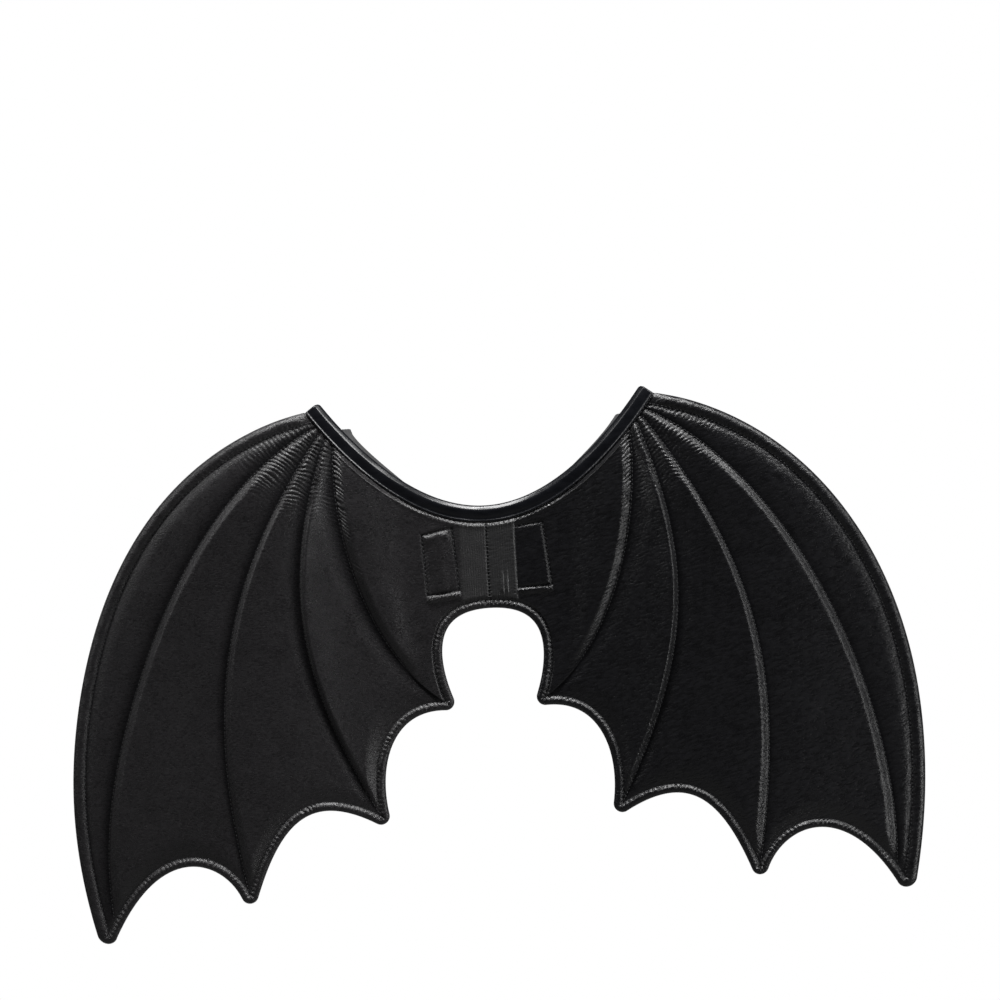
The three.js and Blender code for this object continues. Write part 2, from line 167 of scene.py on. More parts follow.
# Seeds: one for each half, and what each kind of unevenness adds to it
CLOTH_SEEDS = {"left": 11, "right": 47}
STITCH_SEEDS = {"left": 5, "right": 6}
SPINE_STITCH_SEED = 9
DRAWS = {
    "ladder": 31, "rib puckers": 60, "pucker patches": 90, "neck tucks": 120, "slack": 7,
    "small slack": 8, "box tucks": 150, "strip ribs": 12, "strip rib depth": 13, "strip edge": 170,
    "centre slack": 9, "keyhole tucks": 130, "centre neck tucks": 140, "rim tucks": 200,
    "rim patches": 210, "rim slack": 5,
}
TAPE_SEEDS = {"soft": 5, "tucks": 77}

# Where the picture puts the origin, and how it looks at it
PHOTO_ORIGIN = (488.0, 560.0)
PHOTO_SIZE = 1000.0
PIXEL = 0.7512
PHOTO_TURN = 3.0
PHOTO_ROLL = 3.2
CAMERA_DISTANCE = 3500.0
SENSOR = 36.0


def smooth(value, low, high):
    """A smooth step from 0 at low to 1 at high."""
    t = np.clip((np.asarray(value, float) - low) / (high - low), 0, 1)
    return t * t * (3 - 2 * t)


def unevenness(seed, x, z, wavelength, waves=9):
    """Smooth unevenness about 0, mostly from -1 to 1: a few waves in seeded directions."""
    rng = np.random.default_rng(seed)
    total = 0.0
    for _ in range(waves):
        turn, phase, stretch = rng.uniform(0, math.pi), rng.uniform(0, TAU), rng.uniform(0.7, 1.5)
        along = x * math.cos(turn) + z * math.sin(turn)
        total = total + np.sin(TAU * along / (wavelength * stretch) + phase)
    return total / math.sqrt(waves)


# Curves of the outline and the ribs

EDGE_STEPS = 1500


def heading(degrees):
    """A direction in the plane of the wing, from its angle."""
    return np.array([math.cos(math.radians(degrees)), math.sin(math.radians(degrees))])


class Edge:
    """A smooth edge between two points: headings in degrees, pulls as shares of the chord."""

    def __init__(self, start, end, leave, arrive, pull_out, pull_in):
        start, end = np.array(start, float), np.array(end, float)
        chord = np.linalg.norm(end - start)
        near = start + pull_out * chord * heading(leave)
        far = end - pull_in * chord * heading(arrive)
        t = np.linspace(0, 1, EDGE_STEPS + 1)[:, None]
        self.points = (1 - t) ** 3 * start + 3 * (1 - t) ** 2 * t * near
        self.points = self.points + 3 * (1 - t) * t ** 2 * far + t ** 3 * end
        steps = np.linalg.norm(np.diff(self.points, axis=0), axis=1)
        self.run = np.concatenate([[0.0], np.cumsum(steps)])
        self.length = self.run[-1]
        slope = np.gradient(self.points, axis=0)
        self.angles = np.unwrap(np.arctan2(slope[:, 1], slope[:, 0]))

    def at(self, share):
        place = np.asarray(share, float) * self.length
        return np.stack([np.interp(place, self.run, self.points[:, k]) for k in (0, 1)], -1)

    def heading(self, share):
        return np.interp(np.asarray(share, float) * self.length, self.run, self.angles)


CORNERS = {
    "outer_tip": (0.963, 1.0),
    "second_tip": (0.6155, 0.9215),
    "third_tip": (0.2917, 0.72),
    "cusp": (0.1206, 0.401),
}


def corner(name):
    across, down = CORNERS[name]
    return across * WING_REACH, -down * TIP_DROP


neck_seam = Edge((SPINE, NECK_DIP), (PEAK_REACH, PEAK_HEIGHT), 0, 54, 0.35, 0.31)
scallops = [
    Edge(corner("outer_tip"), corner("second_tip"), 119, 247, 0.78, 0.34),
    Edge(corner("second_tip"), corner("third_tip"), 110, 210, 0.5, 0.56),
    Edge(corner("third_tip"), corner("cusp"), 80, 183, 0.44, 0.45),
    Edge(corner("cusp"), (SPINE, -KEYHOLE_TOP), 70, 180, 0.44, 0.6),
]
FIRST_RIB = LEADING_RIM - 0.4
SECOND_RIB_FOOT = 0.07
OUTER_BOX_FOOT = 0.5
INNER_BOX_FOOT = 0.795
RIBS = [
    # distance from the peak, foot, leave, arrive, pull out, pull in
    (FIRST_RIB, corner("outer_tip"), -12, -103, 0.38, 0.42),
    (13.5, scallops[0].at(SECOND_RIB_FOOT), -26, -96, 0.32, 0.29),
    (18.5, corner("second_tip"), -54, -101, 0.41, 0.4),
    (24.0, corner("third_tip"), -70, -118, 0.42, 0.41),
    (32.0, corner("cusp"), -85, -146, 0.3, 0.33),
]


def seam_share_at(x):
    """Share of the neck seam where it passes x."""
    return float(np.interp(x, neck_seam.points[:, 0], neck_seam.run) / neck_seam.length)


def quilting_lines():
    """Lines from the neck seam to the rim stitch, each with its share of the neck seam."""
    lines = []
    for from_peak, foot, leave, arrive, pull_out, pull_in in RIBS:
        share = 1 - from_peak / neck_seam.length
        lines.append((share, Edge(neck_seam.at(share), foot, leave, arrive, pull_out, pull_in)))
    for x, foot_share in ((BOX_INNER + BOX_WIDTH, OUTER_BOX_FOOT), (BOX_INNER, INNER_BOX_FOOT)):
        share = seam_share_at(x)
        foot = scallops[3].at(foot_share)
        lines.append((share, Edge(neck_seam.at(share), foot, -90, -90, 0.4, 0.2)))
    lines.append((0.0, Edge((SPINE, NECK_DIP), (SPINE, -KEYHOLE_TOP), -90, -90, 0.3, 0.3)))
    return lines


lines = quilting_lines()
FEET = [
    # scallop below the panel, and from which share of it to which
    (0, 0, SECOND_RIB_FOOT),
    (0, SECOND_RIB_FOOT, 1),
    (1, 0, 1),
    (2, 0, 1),
    (3, 0, OUTER_BOX_FOOT),
    (3, OUTER_BOX_FOOT, INNER_BOX_FOOT),
    (3, INNER_BOX_FOOT, 1),
]
INNER_PANEL = 4
CENTRE_PANELS = (5, 6)
CENTRE_BLEND = (50, 74)
LEAST_SLANT = 0.3
BOX_TOP_ROW = 0.1
BOX_FOOT_ROW = 0.75


def seam_share(panel, across):
    """Share of the neck seam above a place across a panel."""
    start, end = lines[panel][0], lines[panel + 1][0]
    return start + (end - start) * across


def foot_place(panel, across):
    """The scallop below a place across a panel, and the share of it there."""
    scallop, start, end = FEET[panel]
    return scallop, start + (end - start) * across


def line_share(line, down):
    """Share of a line's length at a row: the rows keep level with the anchor box near the spine."""
    if line < INNER_PANEL:
        return down ** 0.9
    run = lines[line][1]
    top_z, foot_z = run.at(0)[1], run.at(1)[1]
    top, foot = 0.09, 0.7
    if line > INNER_PANEL:
        top, foot = (top_z - BOX_TOP) / (top_z - foot_z), (top_z - BOX_FOOT) / (top_z - foot_z)
    return np.interp(down, [0, BOX_TOP_ROW, BOX_FOOT_ROW, 1], [0, top, foot, 1])


def panel_grid(panel, across, down):
    """Places of a panel, a row for each down and a column for each across: x, z and useful lengths."""
    scallop, foot_shares = foot_place(panel, across)
    left, right = lines[panel][1], lines[panel + 1][1]
    a_share, b_share = line_share(panel, down), line_share(panel + 1, down)
    a, b = left.at(a_share)[:, None], right.at(b_share)[:, None]
    t, d = across[None, :, None], down[:, None, None]
    top = neck_seam.at(seam_share(panel, across))[None]
    foot = scallops[scallop].at(foot_shares)[None]
    p = (1 - t) * a + t * b
    p = p + (1 - d) * (top - (1 - t) * left.at(0) - t * right.at(0))
    p = p + d * (foot - (1 - t) * left.at(1) - t * right.at(1))
    width = np.linalg.norm(a - b, axis=2)
    along = (1 - across) * (a_share * left.length)[:, None] + across * (b_share * right.length)[:, None]
    row = (b - a)[:, 0] / np.maximum(width, 0.1)
    # rows cross the ribs at a slant, so their lengths are turned into distances square to each rib
    slants = []
    for angle in (left.heading(a_share), right.heading(b_share)):
        slant = np.abs(row[:, 0] * np.sin(angle) - row[:, 1] * np.cos(angle))
        slants.append(np.maximum(LEAST_SLANT, slant)[:, None])
    return {
        "x": p[..., 0], "z": p[..., 1],
        "from_outer": across * width * slants[0],
        "to_inner": (1 - across) * width * slants[1],
        "width": np.broadcast_to(width, p.shape[:2]),
        "across": np.broadcast_to(across[None], p.shape[:2]),
        "along": along,
        "to_seam": np.linalg.norm(p - top, axis=2),
        "to_foot": np.linalg.norm(p - foot, axis=2),
        "to_peak": np.linalg.norm(p - left.at(0), axis=2),
    }


def middle_surface(x, z):
    """How far back the middle of the padding lies: the bow of the worn wing."""
    out = np.maximum(0, np.abs(x) - CENTRE_FLAT) / (WING_REACH - CENTRE_FLAT)
    up = np.maximum(0, z - NECK_DIP) / (PEAK_HEIGHT - NECK_DIP)
    blade = np.sin(math.pi * np.minimum(out, 1)) ** 2
    return MIDDLE_Y - SWELL * blade + WRAP * out ** 3 + LEAN * up ** 2


# How the worn wings hang: places that sit lower, higher or further out than in the even pattern
HANG = {
    "left": [
        # across, up, moved out, moved up, reach
        (299.0, -262.0, 1.0, -5.6, 60.0),
        (311.0, -180.0, 3.4, 0.0, 60.0),
    ],
    "right": [
        (299.0, -262.0, -0.5, 6.8, 60.0),
        (311.0, -180.0, -1.5, 0.0, 60.0),
    ],
}


def hanging(x, z, side):
    """Where a place of the even pattern lies on the worn wing of that side."""
    moved_x, moved_z = x, z
    for across, up, out, rise, reach in HANG[side]:
        near = np.exp(-((x - across) ** 2 + (z - up) ** 2) / (2 * reach ** 2))
        moved_x, moved_z = moved_x + out * near, moved_z + rise * near
    return moved_x, moved_z


# Relief of the quilting

def band(distance, start, full, fading, gone):
    """A strip beside a line: 0 up to start, 1 from full to fading, and 0 again from gone."""
    return smooth(distance, start, full) * (1 - smooth(distance, fading, gone))


def bell(distance, middle, width):
    """A rounded bump of height 1 at the middle."""
    return np.exp(-((distance - middle) / width) ** 2)


def patchy(seed, x, z, wavelength, mean, swing):
    """A strength that comes and goes over the cloth and is never quite gone."""
    return np.clip(mean + swing * unevenness(seed, x, z, wavelength), 0.15, 1.3)


def gathers(along, across_mm, seed, pitch, sharp=0.95):
    """Little tucks across a strip, 0 in the creases and 1 on the crowns."""
    wander = 0.24 * unevenness(seed, along, across_mm * 1.3, 17.0)
    phase = (along + 0.15 * across_mm) / pitch + wander
    return np.abs(np.sin(math.pi * phase)) ** sharp


def rise_share(panel, g):
    """Distance from the outer rib of a panel, as a share of the rise beside that rib."""
    return g["from_outer"] / np.minimum(RISES[panel][0], 0.5 * g["width"])


def end_share(g):
    """How full the padding is towards the rim stitch and the peak."""
    ends = smooth(g["to_foot"], -1, FOOT_RAMP) ** 0.7
    return ends * (PEAK_SHARE + (1 - PEAK_SHARE) * smooth(g["to_peak"], 0, PEAK_RAMP))


def panel_crown(panel, g):
    """Half thickness of a rib panel before it is gathered: steep beside its outer rib, then falling."""
    across, width = g["across"], g["width"]
    crown_fade = smooth(across, 0.3, 1)
    low = GROOVE_HALF if panel > 0 else LEADING_GROOVE_HALF
    full, by_next_rib, lean = PAD_HALF, 1.0, 1.0
    if panel == INNER_PANEL:
        full = PAD_HALF + (CENTRE_HALF - PAD_HALF) * crown_fade
    else:
        by_next_rib = smooth(g["to_inner"] / np.minimum(FALL_WIDTH, 0.4 * width), -0.06, 1)
        lean = 1 - PAD_LEAN * across ** 1.3
    room = np.minimum(1, width / ROOMY_PANEL) ** 0.7
    by_rib = smooth(rise_share(panel, g), -0.06, 1)
    by_foot = 1.0
    if panel >= FLAT_FEET_FROM:
        by_foot = FLAT_FOOT_SHARE + (1 - FLAT_FOOT_SHARE) * smooth(g["to_foot"], *FLAT_FOOT_RUN)
    fullness = 1 + (RISES[panel][1] - 1) * (1 - crown_fade) * by_foot
    crown = low + (full - low) * fullness * room * by_rib * by_next_rib * lean * end_share(g)
    half = EDGE_HALF + (crown - EDGE_HALF) * smooth(g["to_seam"], -0.6, 3.8)
    if panel == INNER_PANEL:
        half = half + SEAM_ROLL * bell(g["to_seam"], *SEAM_ROLL_AT)
    return half


def peak_ladder(panel, g, side, seed):
    """The long gathers under the peak: how much of them is left at each place, and their depth."""
    fade = 1 - smooth(g["along"], *LADDER_RUN)
    strips = smooth(g["from_outer"], 0.2, 1.1)
    if panel == INNER_PANEL:
        fade = fade * (1 - smooth(g["from_outer"], 4, 10))
    else:
        far = GATHERED_TO[side]
        strips = strips * (1 - 0.85 * smooth(g["across"], 0.5 * far, far)) * smooth(g["to_inner"], 0.2, 1.3)
    if panel == 0:
        fade = fade * LEADING_LADDER
    tucks = gathers(g["along"], g["from_outer"], seed + panel, LADDER_PITCH)
    strength = fade * strips * (0.8 + 0.3 * unevenness(seed + DRAWS["ladder"], g["x"], g["z"], 13.0))
    return fade, LADDER_DEPTH * (1 - tucks) * np.clip(strength, 0, 1.2)


def panel_relief(panel, g, side, seed):
    """Half thickness of a rib panel in front, and its marks for the finish, the painted shade beside its
    ribs among them.
    """
    x, z, from_outer, to_inner, to_seam = (g[k] for k in ("x", "z", "from_outer", "to_inner", "to_seam"))
    has_next_rib = panel != INNER_PANEL
    fade, ladder_depth = peak_ladder(panel, g, side, seed)
    half = panel_crown(panel, g) - ladder_depth

    # small puckers drawn up by the stitches, stronger on the spine side of each rib
    beads = gathers(g["along"], from_outer, seed + DRAWS["rib puckers"] + panel, PUCKER_PITCH, 0.8)
    drawn = RIB_PUCKERS[side] * band(rise_share(panel, g), *OUTER_PUCKERS)
    if has_next_rib:
        drawn = drawn + INNER_PUCKER_DEPTH * band(to_inner, *INNER_PUCKERS)
    comes_and_goes = patchy(seed + DRAWS["pucker patches"], x, z, 20.0, 0.75, 0.45)
    half = half - (1 - beads) * comes_and_goes * drawn * (1 - fade)

    # tucks below the neck seam
    seam_run = neck_seam.length * seam_share(panel, g["across"])
    tucks = gathers(seam_run, to_seam, seed + DRAWS["neck tucks"], NECK_TUCK_PITCH, 0.8)
    depth = NECK_TUCK_DEPTH * (1 - tucks) * band(to_seam, *NECK_TUCKS)
    half = half - depth * (0.4 if has_next_rib else 1)

    # slack of the padding
    nearest = np.minimum(from_outer, to_inner) if has_next_rib else from_outer
    loose = smooth(nearest, 2, 14) * end_share(g)
    slack = 0.12 * unevenness(seed + DRAWS["slack"], x, z, 46.0)
    slack = slack + 0.03 * unevenness(seed + DRAWS["small slack"], x, z * 1.6, 17.0)
    half = half + loose * slack

    # painted shade: darker, duller cloth in the groove beside each rib
    sunk = bell(from_outer, 0, GROOVE_SHADE)
    if has_next_rib:
        sunk = np.maximum(sunk, bell(to_inner, 0, SHADE_WIDTH[side]))
    return np.maximum(half, THINNEST), {"strip": 0.0, "sunk": sunk * smooth(g["to_foot"], 0, 8)}


# Anchor boxes as they are sewn on each side, and the cloth about them
BOXES = {
    "left": {
        # corners across and up, from the top inner one round
        "corners": [(25.6, 25.8), (48.6, 21.2), (46.4, -24.2), (22.4, -21.6)],
        # shade: how strong the painted shade inside the stitch line is
        "shade": 0.0, "strip_edge": 2.6, "tuck_depth": 0.25,
        # the roll of cloth beyond the stitch line: its width, its height below the box, its tucks
        "roll": (3.0, 1.9, 0.7),
    },
    "right": {
        "corners": [(20.6, 24.2), (42.6, 26.8), (47.4, -20.8), (21.2, -22.0)],
        "shade": 0.2, "strip_edge": 0.7, "tuck_depth": 0.5,
        "roll": (1.8, 1.1, 0.8),
    },
}
LEFT_BOX_SIDE = (47.5, 0.048)
STRIP_EDGE = BOX_INNER - 0.4
STRIP_RIB_PITCH = 1.75
STRIP_FOLDS = [
    # place across, width, height
    (10.5, 1.1, 1.0),
    (13.6, 1.0, 0.8),
]


def box_sides(side):
    """The four sides of an anchor box, as their end points."""
    corners = np.array(BOXES[side]["corners"])
    return zip(corners, np.roll(corners, -1, axis=0))


def outside_box(x, z, side):
    """Distance outside the stitch line of the anchor box, below 0 inside it."""
    outside = np.full(np.shape(x), -1e9)
    for start, end in box_sides(side):
        step = (end - start) / np.linalg.norm(end - start)
        outside = np.maximum(outside, (z - start[1]) * step[0] - (x - start[0]) * step[1])
    return outside


def box_pad(x, z, inside, side):
    """The low pad inside the stitch line of a box, highest by its outer side, or on the left by its top."""
    outer_share = smooth(x, STRIP_EDGE, STRIP_EDGE + BOX_WIDTH)
    if side == "right":
        return smooth(inside, 0, 2.6) * (0.2 + 0.9 * outer_share)
    from_side = LEFT_BOX_SIDE[0] + LEFT_BOX_SIDE[1] * z - x
    pad = 1.7 * smooth(from_side, 0, 14) * smooth(outer_share, 0, 0.7) * smooth(inside, 0, 3.0)
    by_top = 1.8 * smooth(inside, 0, 4.5) * smooth(z, 8, 21) * smooth(outer_share, 0, 0.4)
    return np.maximum(pad, by_top)


def around_box(x, z, outside, side, seed):
    """Height of the cloth inside and outside the stitch line of a box, with its tucks."""
    box = BOXES[side]
    roll_width, roll_height, roll_tucks = box["roll"]
    beads = gathers(x * 0.9 + z, outside * 0, seed + DRAWS["box tucks"], BOX_TUCK_PITCH, 0.8)
    pad = box_pad(x, z, -outside, side) - box["tuck_depth"] * (1 - beads) * band(-outside, *BOX_TUCKS)
    lower_corner = box["corners"][2][0]
    below = smooth(-z, 14, 21) * (1 - smooth(x, lower_corner - 1.5, lower_corner + 1))
    roll = 0.1 + roll_height * (1 - roll_tucks * (1 - beads)) * below
    return pad, band(outside, 0.1, roll_width, roll_width + 0.6, 6.5) * roll


def centre_relief(g, side, seed):
    """Half thickness of the centre panel: a ribbed strip by the spine and a flat anchor box."""
    x, z, to_seam, to_foot = g["x"], g["z"], g["to_seam"], g["to_foot"]
    box = BOXES[side]
    outside = outside_box(x, z, side)
    strip = 1 - smooth(x, STRIP_EDGE - box["strip_edge"], STRIP_EDGE + 0.9)
    beyond_strip = smooth(x, STRIP_EDGE, STRIP_EDGE + 1.5)
    pad, roll = around_box(x, z, outside, side, seed)
    half = CENTRE_HALF + CENTRE_RISE * strip
    half = half + beyond_strip * pad
    half = half + beyond_strip * roll
    half = half - BOX_LINE_DEPTH * bell(outside, 0, 0.8) * smooth(x, STRIP_EDGE - 1, STRIP_EDGE + 1)

    # lengthwise ribs of the strip
    wander = 0.12 * unevenness(seed + DRAWS["strip ribs"], x, z, 9.0)
    ribs = 0.5 + 0.5 * np.cos(TAU * (x - 1.0 + wander) / STRIP_RIB_PITCH)
    rib_depth = 0.16 + 0.08 * unevenness(seed + DRAWS["strip rib depth"], x, z, 14.0)
    half = half - rib_depth * ribs * strip * smooth(x, 1.0, 2.0)
    if side == "right":
        folds = sum(height * bell(x, across, width) for across, width, height in STRIP_FOLDS)
        half = half + 1.2 * folds * (1 - smooth(z, -17, -2)) * smooth(z, -28, -22)
        edge_beads = gathers(z, x * 0, seed + DRAWS["strip edge"], 2.6, 0.8)
        half = half + bell(x, STRIP_EDGE - 1.4, 1.2) * (0.5 - 0.5 * (1 - edge_beads))

    # the spine seam, with a dent at each of its stitches
    dents = 0.5 + 0.5 * np.cos(TAU * z / SPINE_STITCH)
    half = half - 1.1 * bell(x, 0, 0.8) - 0.5 * dents ** 2 * np.exp(-(x / 2.1) ** 4)
    half = half + 0.08 * unevenness(seed + DRAWS["centre slack"], x, z, 19.0)

    # tucks along the keyhole and below the neck seam
    half = GROOVE_HALF + (half - GROOVE_HALF) * smooth(to_foot, -0.5, 3.5)
    tucks = gathers(x, z * 0, seed + DRAWS["keyhole tucks"], 3.1, 0.8)
    half = half - 0.4 * (1 - tucks) * band(to_foot, *KEYHOLE_TUCKS)
    tucks = gathers(x, z * 0, seed + DRAWS["centre neck tucks"], NECK_TUCK_PITCH, 0.8)
    half = half - 1.0 * (1 - tucks) * band(to_seam, *CENTRE_NECK_TUCKS)
    half = EDGE_HALF + (half - EDGE_HALF) * smooth(to_seam, -0.6, 3.4)
    half = half + SEAM_ROLL * bell(to_seam, *SEAM_ROLL_AT)

    # painted shade: inside the box on the right, along the box's stitch line and along the spine seam
    sunk = box["shade"] * smooth(-outside, 0, 1) + bell(outside, 0, 0.9) * beyond_strip
    sunk = sunk + 0.9 * bell(x, 0, 0.9)
    return np.maximum(half, THINNEST), {"strip": strip, "sunk": np.minimum(sunk, 1)}


# Meshes

class Piece:
    """Points in millimetres with their marks, and triangles, for one mesh."""

    MARKS = ("strip", "sunk", "along", "across")

    def __init__(self):
        self.points, self.marks, self.triangles, self.count = [], [], [], 0

    def add(self, points, **marks):
        """Adds an array of points of any shape and returns their numbers in that shape."""
        points = np.asarray(points, float)
        shape = points.shape[:-1]
        size = int(np.prod(shape))
        self.points.append(points.reshape(-1, 3))
        given = [np.asarray(marks.get(mark, 0.0), float) for mark in self.MARKS]
        self.marks.append(np.stack([np.broadcast_to(one, shape).reshape(-1) for one in given], 1))
        numbers = np.arange(self.count, self.count + size).reshape(shape)
        self.count += size
        return numbers

    def lace(self, a, b, at_a=None, at_b=None):
        """Joins two rows of points with triangles, also where one row is finer than the other."""
        a, b = np.asarray(a), np.asarray(b)
        if len(a) == len(b):
            found = np.concatenate([
                np.stack([a[:-1], b[:-1], b[1:]], 1),
                np.stack([a[:-1], b[1:], a[1:]], 1),
            ])
        else:
            at_a = np.linspace(0, 1, len(a)) if at_a is None else np.asarray(at_a)
            at_b = np.linspace(0, 1, len(b)) if at_b is None else np.asarray(at_b)
            found, i, j = [], 0, 0
            while i + 1 < len(a) or j + 1 < len(b):
                step_a = j + 1 == len(b) or (
                    i + 1 < len(a) and at_a[i] + at_a[i + 1] <= at_b[j] + at_b[j + 1]
                )
                if step_a:
                    found.append((a[i], b[j], a[i + 1]))
                    i += 1
                else:
                    found.append((a[i], b[j], b[j + 1]))
                    j += 1
            found = np.array(found)
        a, b, c = found.T
        self.triangles.append(found[(a != b) & (b != c) & (c != a)])

    def lace_all(self, grid):
        for row, after in zip(grid[:-1], grid[1:]):
            self.lace(row, after)

    def build(self, name, mirror=False):
        """Makes the Blender object, in metres, with its faces turned outward."""
        points = np.concatenate(self.points) * MM
        if mirror:
            points = points * [-1, 1, 1]
        triangles = np.concatenate(self.triangles)
        mesh = bpy.data.meshes.new(name)
        mesh.vertices.add(len(points))
        mesh.vertices.foreach_set("co", points.astype(np.float32).ravel())
        mesh.loops.add(triangles.size)
        mesh.loops.foreach_set("vertex_index", triangles.astype(np.int32).ravel())
        mesh.polygons.add(len(triangles))
        mesh.polygons.foreach_set("loop_start", np.arange(0, triangles.size, 3, dtype=np.int32))
        mesh.update(calc_edges=True)
        marks = np.concatenate(self.marks)
        for column, mark in enumerate(self.MARKS):
            attribute = mesh.attributes.new(mark, "FLOAT", "POINT")
            attribute.data.foreach_set("value", marks[:, column].astype(np.float32))
        work = bmesh.new()
        work.from_mesh(mesh)
        bmesh.ops.recalc_face_normals(work, faces=work.faces)
        work.to_mesh(mesh)
        work.free()
        mesh.polygons.foreach_set("use_smooth", np.ones(len(mesh.polygons), bool))
        mesh.update()
        thing = bpy.data.objects.new(name, mesh)
        bpy.context.scene.collection.objects.link(thing)
        return thing


# Fineness of the front sheet and of the plainer back sheet
FRONT = {
    "rows_by_peak": 104, "rows_below": 216, "columns": (15, 30, 60), "wide_columns": 46,
    "narrow_columns": 8, "centre_rows": 84, "centre_columns": (28, 60),
    "rim_step": 0.9, "fan_steps": 14, "sign": -1, "share": 1.0,
}
BACK = {
    "rows_by_peak": 22, "rows_below": 62, "columns": (8, 16, 24), "wide_columns": 18,
    "narrow_columns": 4, "centre_rows": 26, "centre_columns": (8, 8),
    "rim_step": 3.0, "fan_steps": 7, "sign": 1, "share": BACK_SHARE,
}
PEAK_ROWS_END = 0.17
LEVEL_STARTS = (0.17, 0.42)
RIM_SECTION = np.array([0.05, 0.13, 0.22, 0.33, 0.46, 0.6, 0.73, 0.84, 0.92, 0.975, 1.0])
BAND_SECTION = np.array([0.15, 0.5, 0.85, 0.96, 1.0])
BAND_HALF = np.array([1, 1, 0.9, 0.6, 0.0]) * EDGE_HALF


def denser_at_ends(count, pull=0.6):
    t = np.linspace(0, 1, count + 1)
    return t - pull * np.sin(TAU * t) / TAU


def rim_half(t, crown):
    """Half thickness of a rim from its stitch (0) to its edge (1)."""
    rise = GROOVE_HALF + (crown - GROOVE_HALF) * np.sqrt(smooth(t, -0.02, 0.46))
    fall = np.sqrt(np.clip(1 - (np.maximum(t - 0.45, 0) / 0.55) ** 2, 0, 1))
    return rise * fall


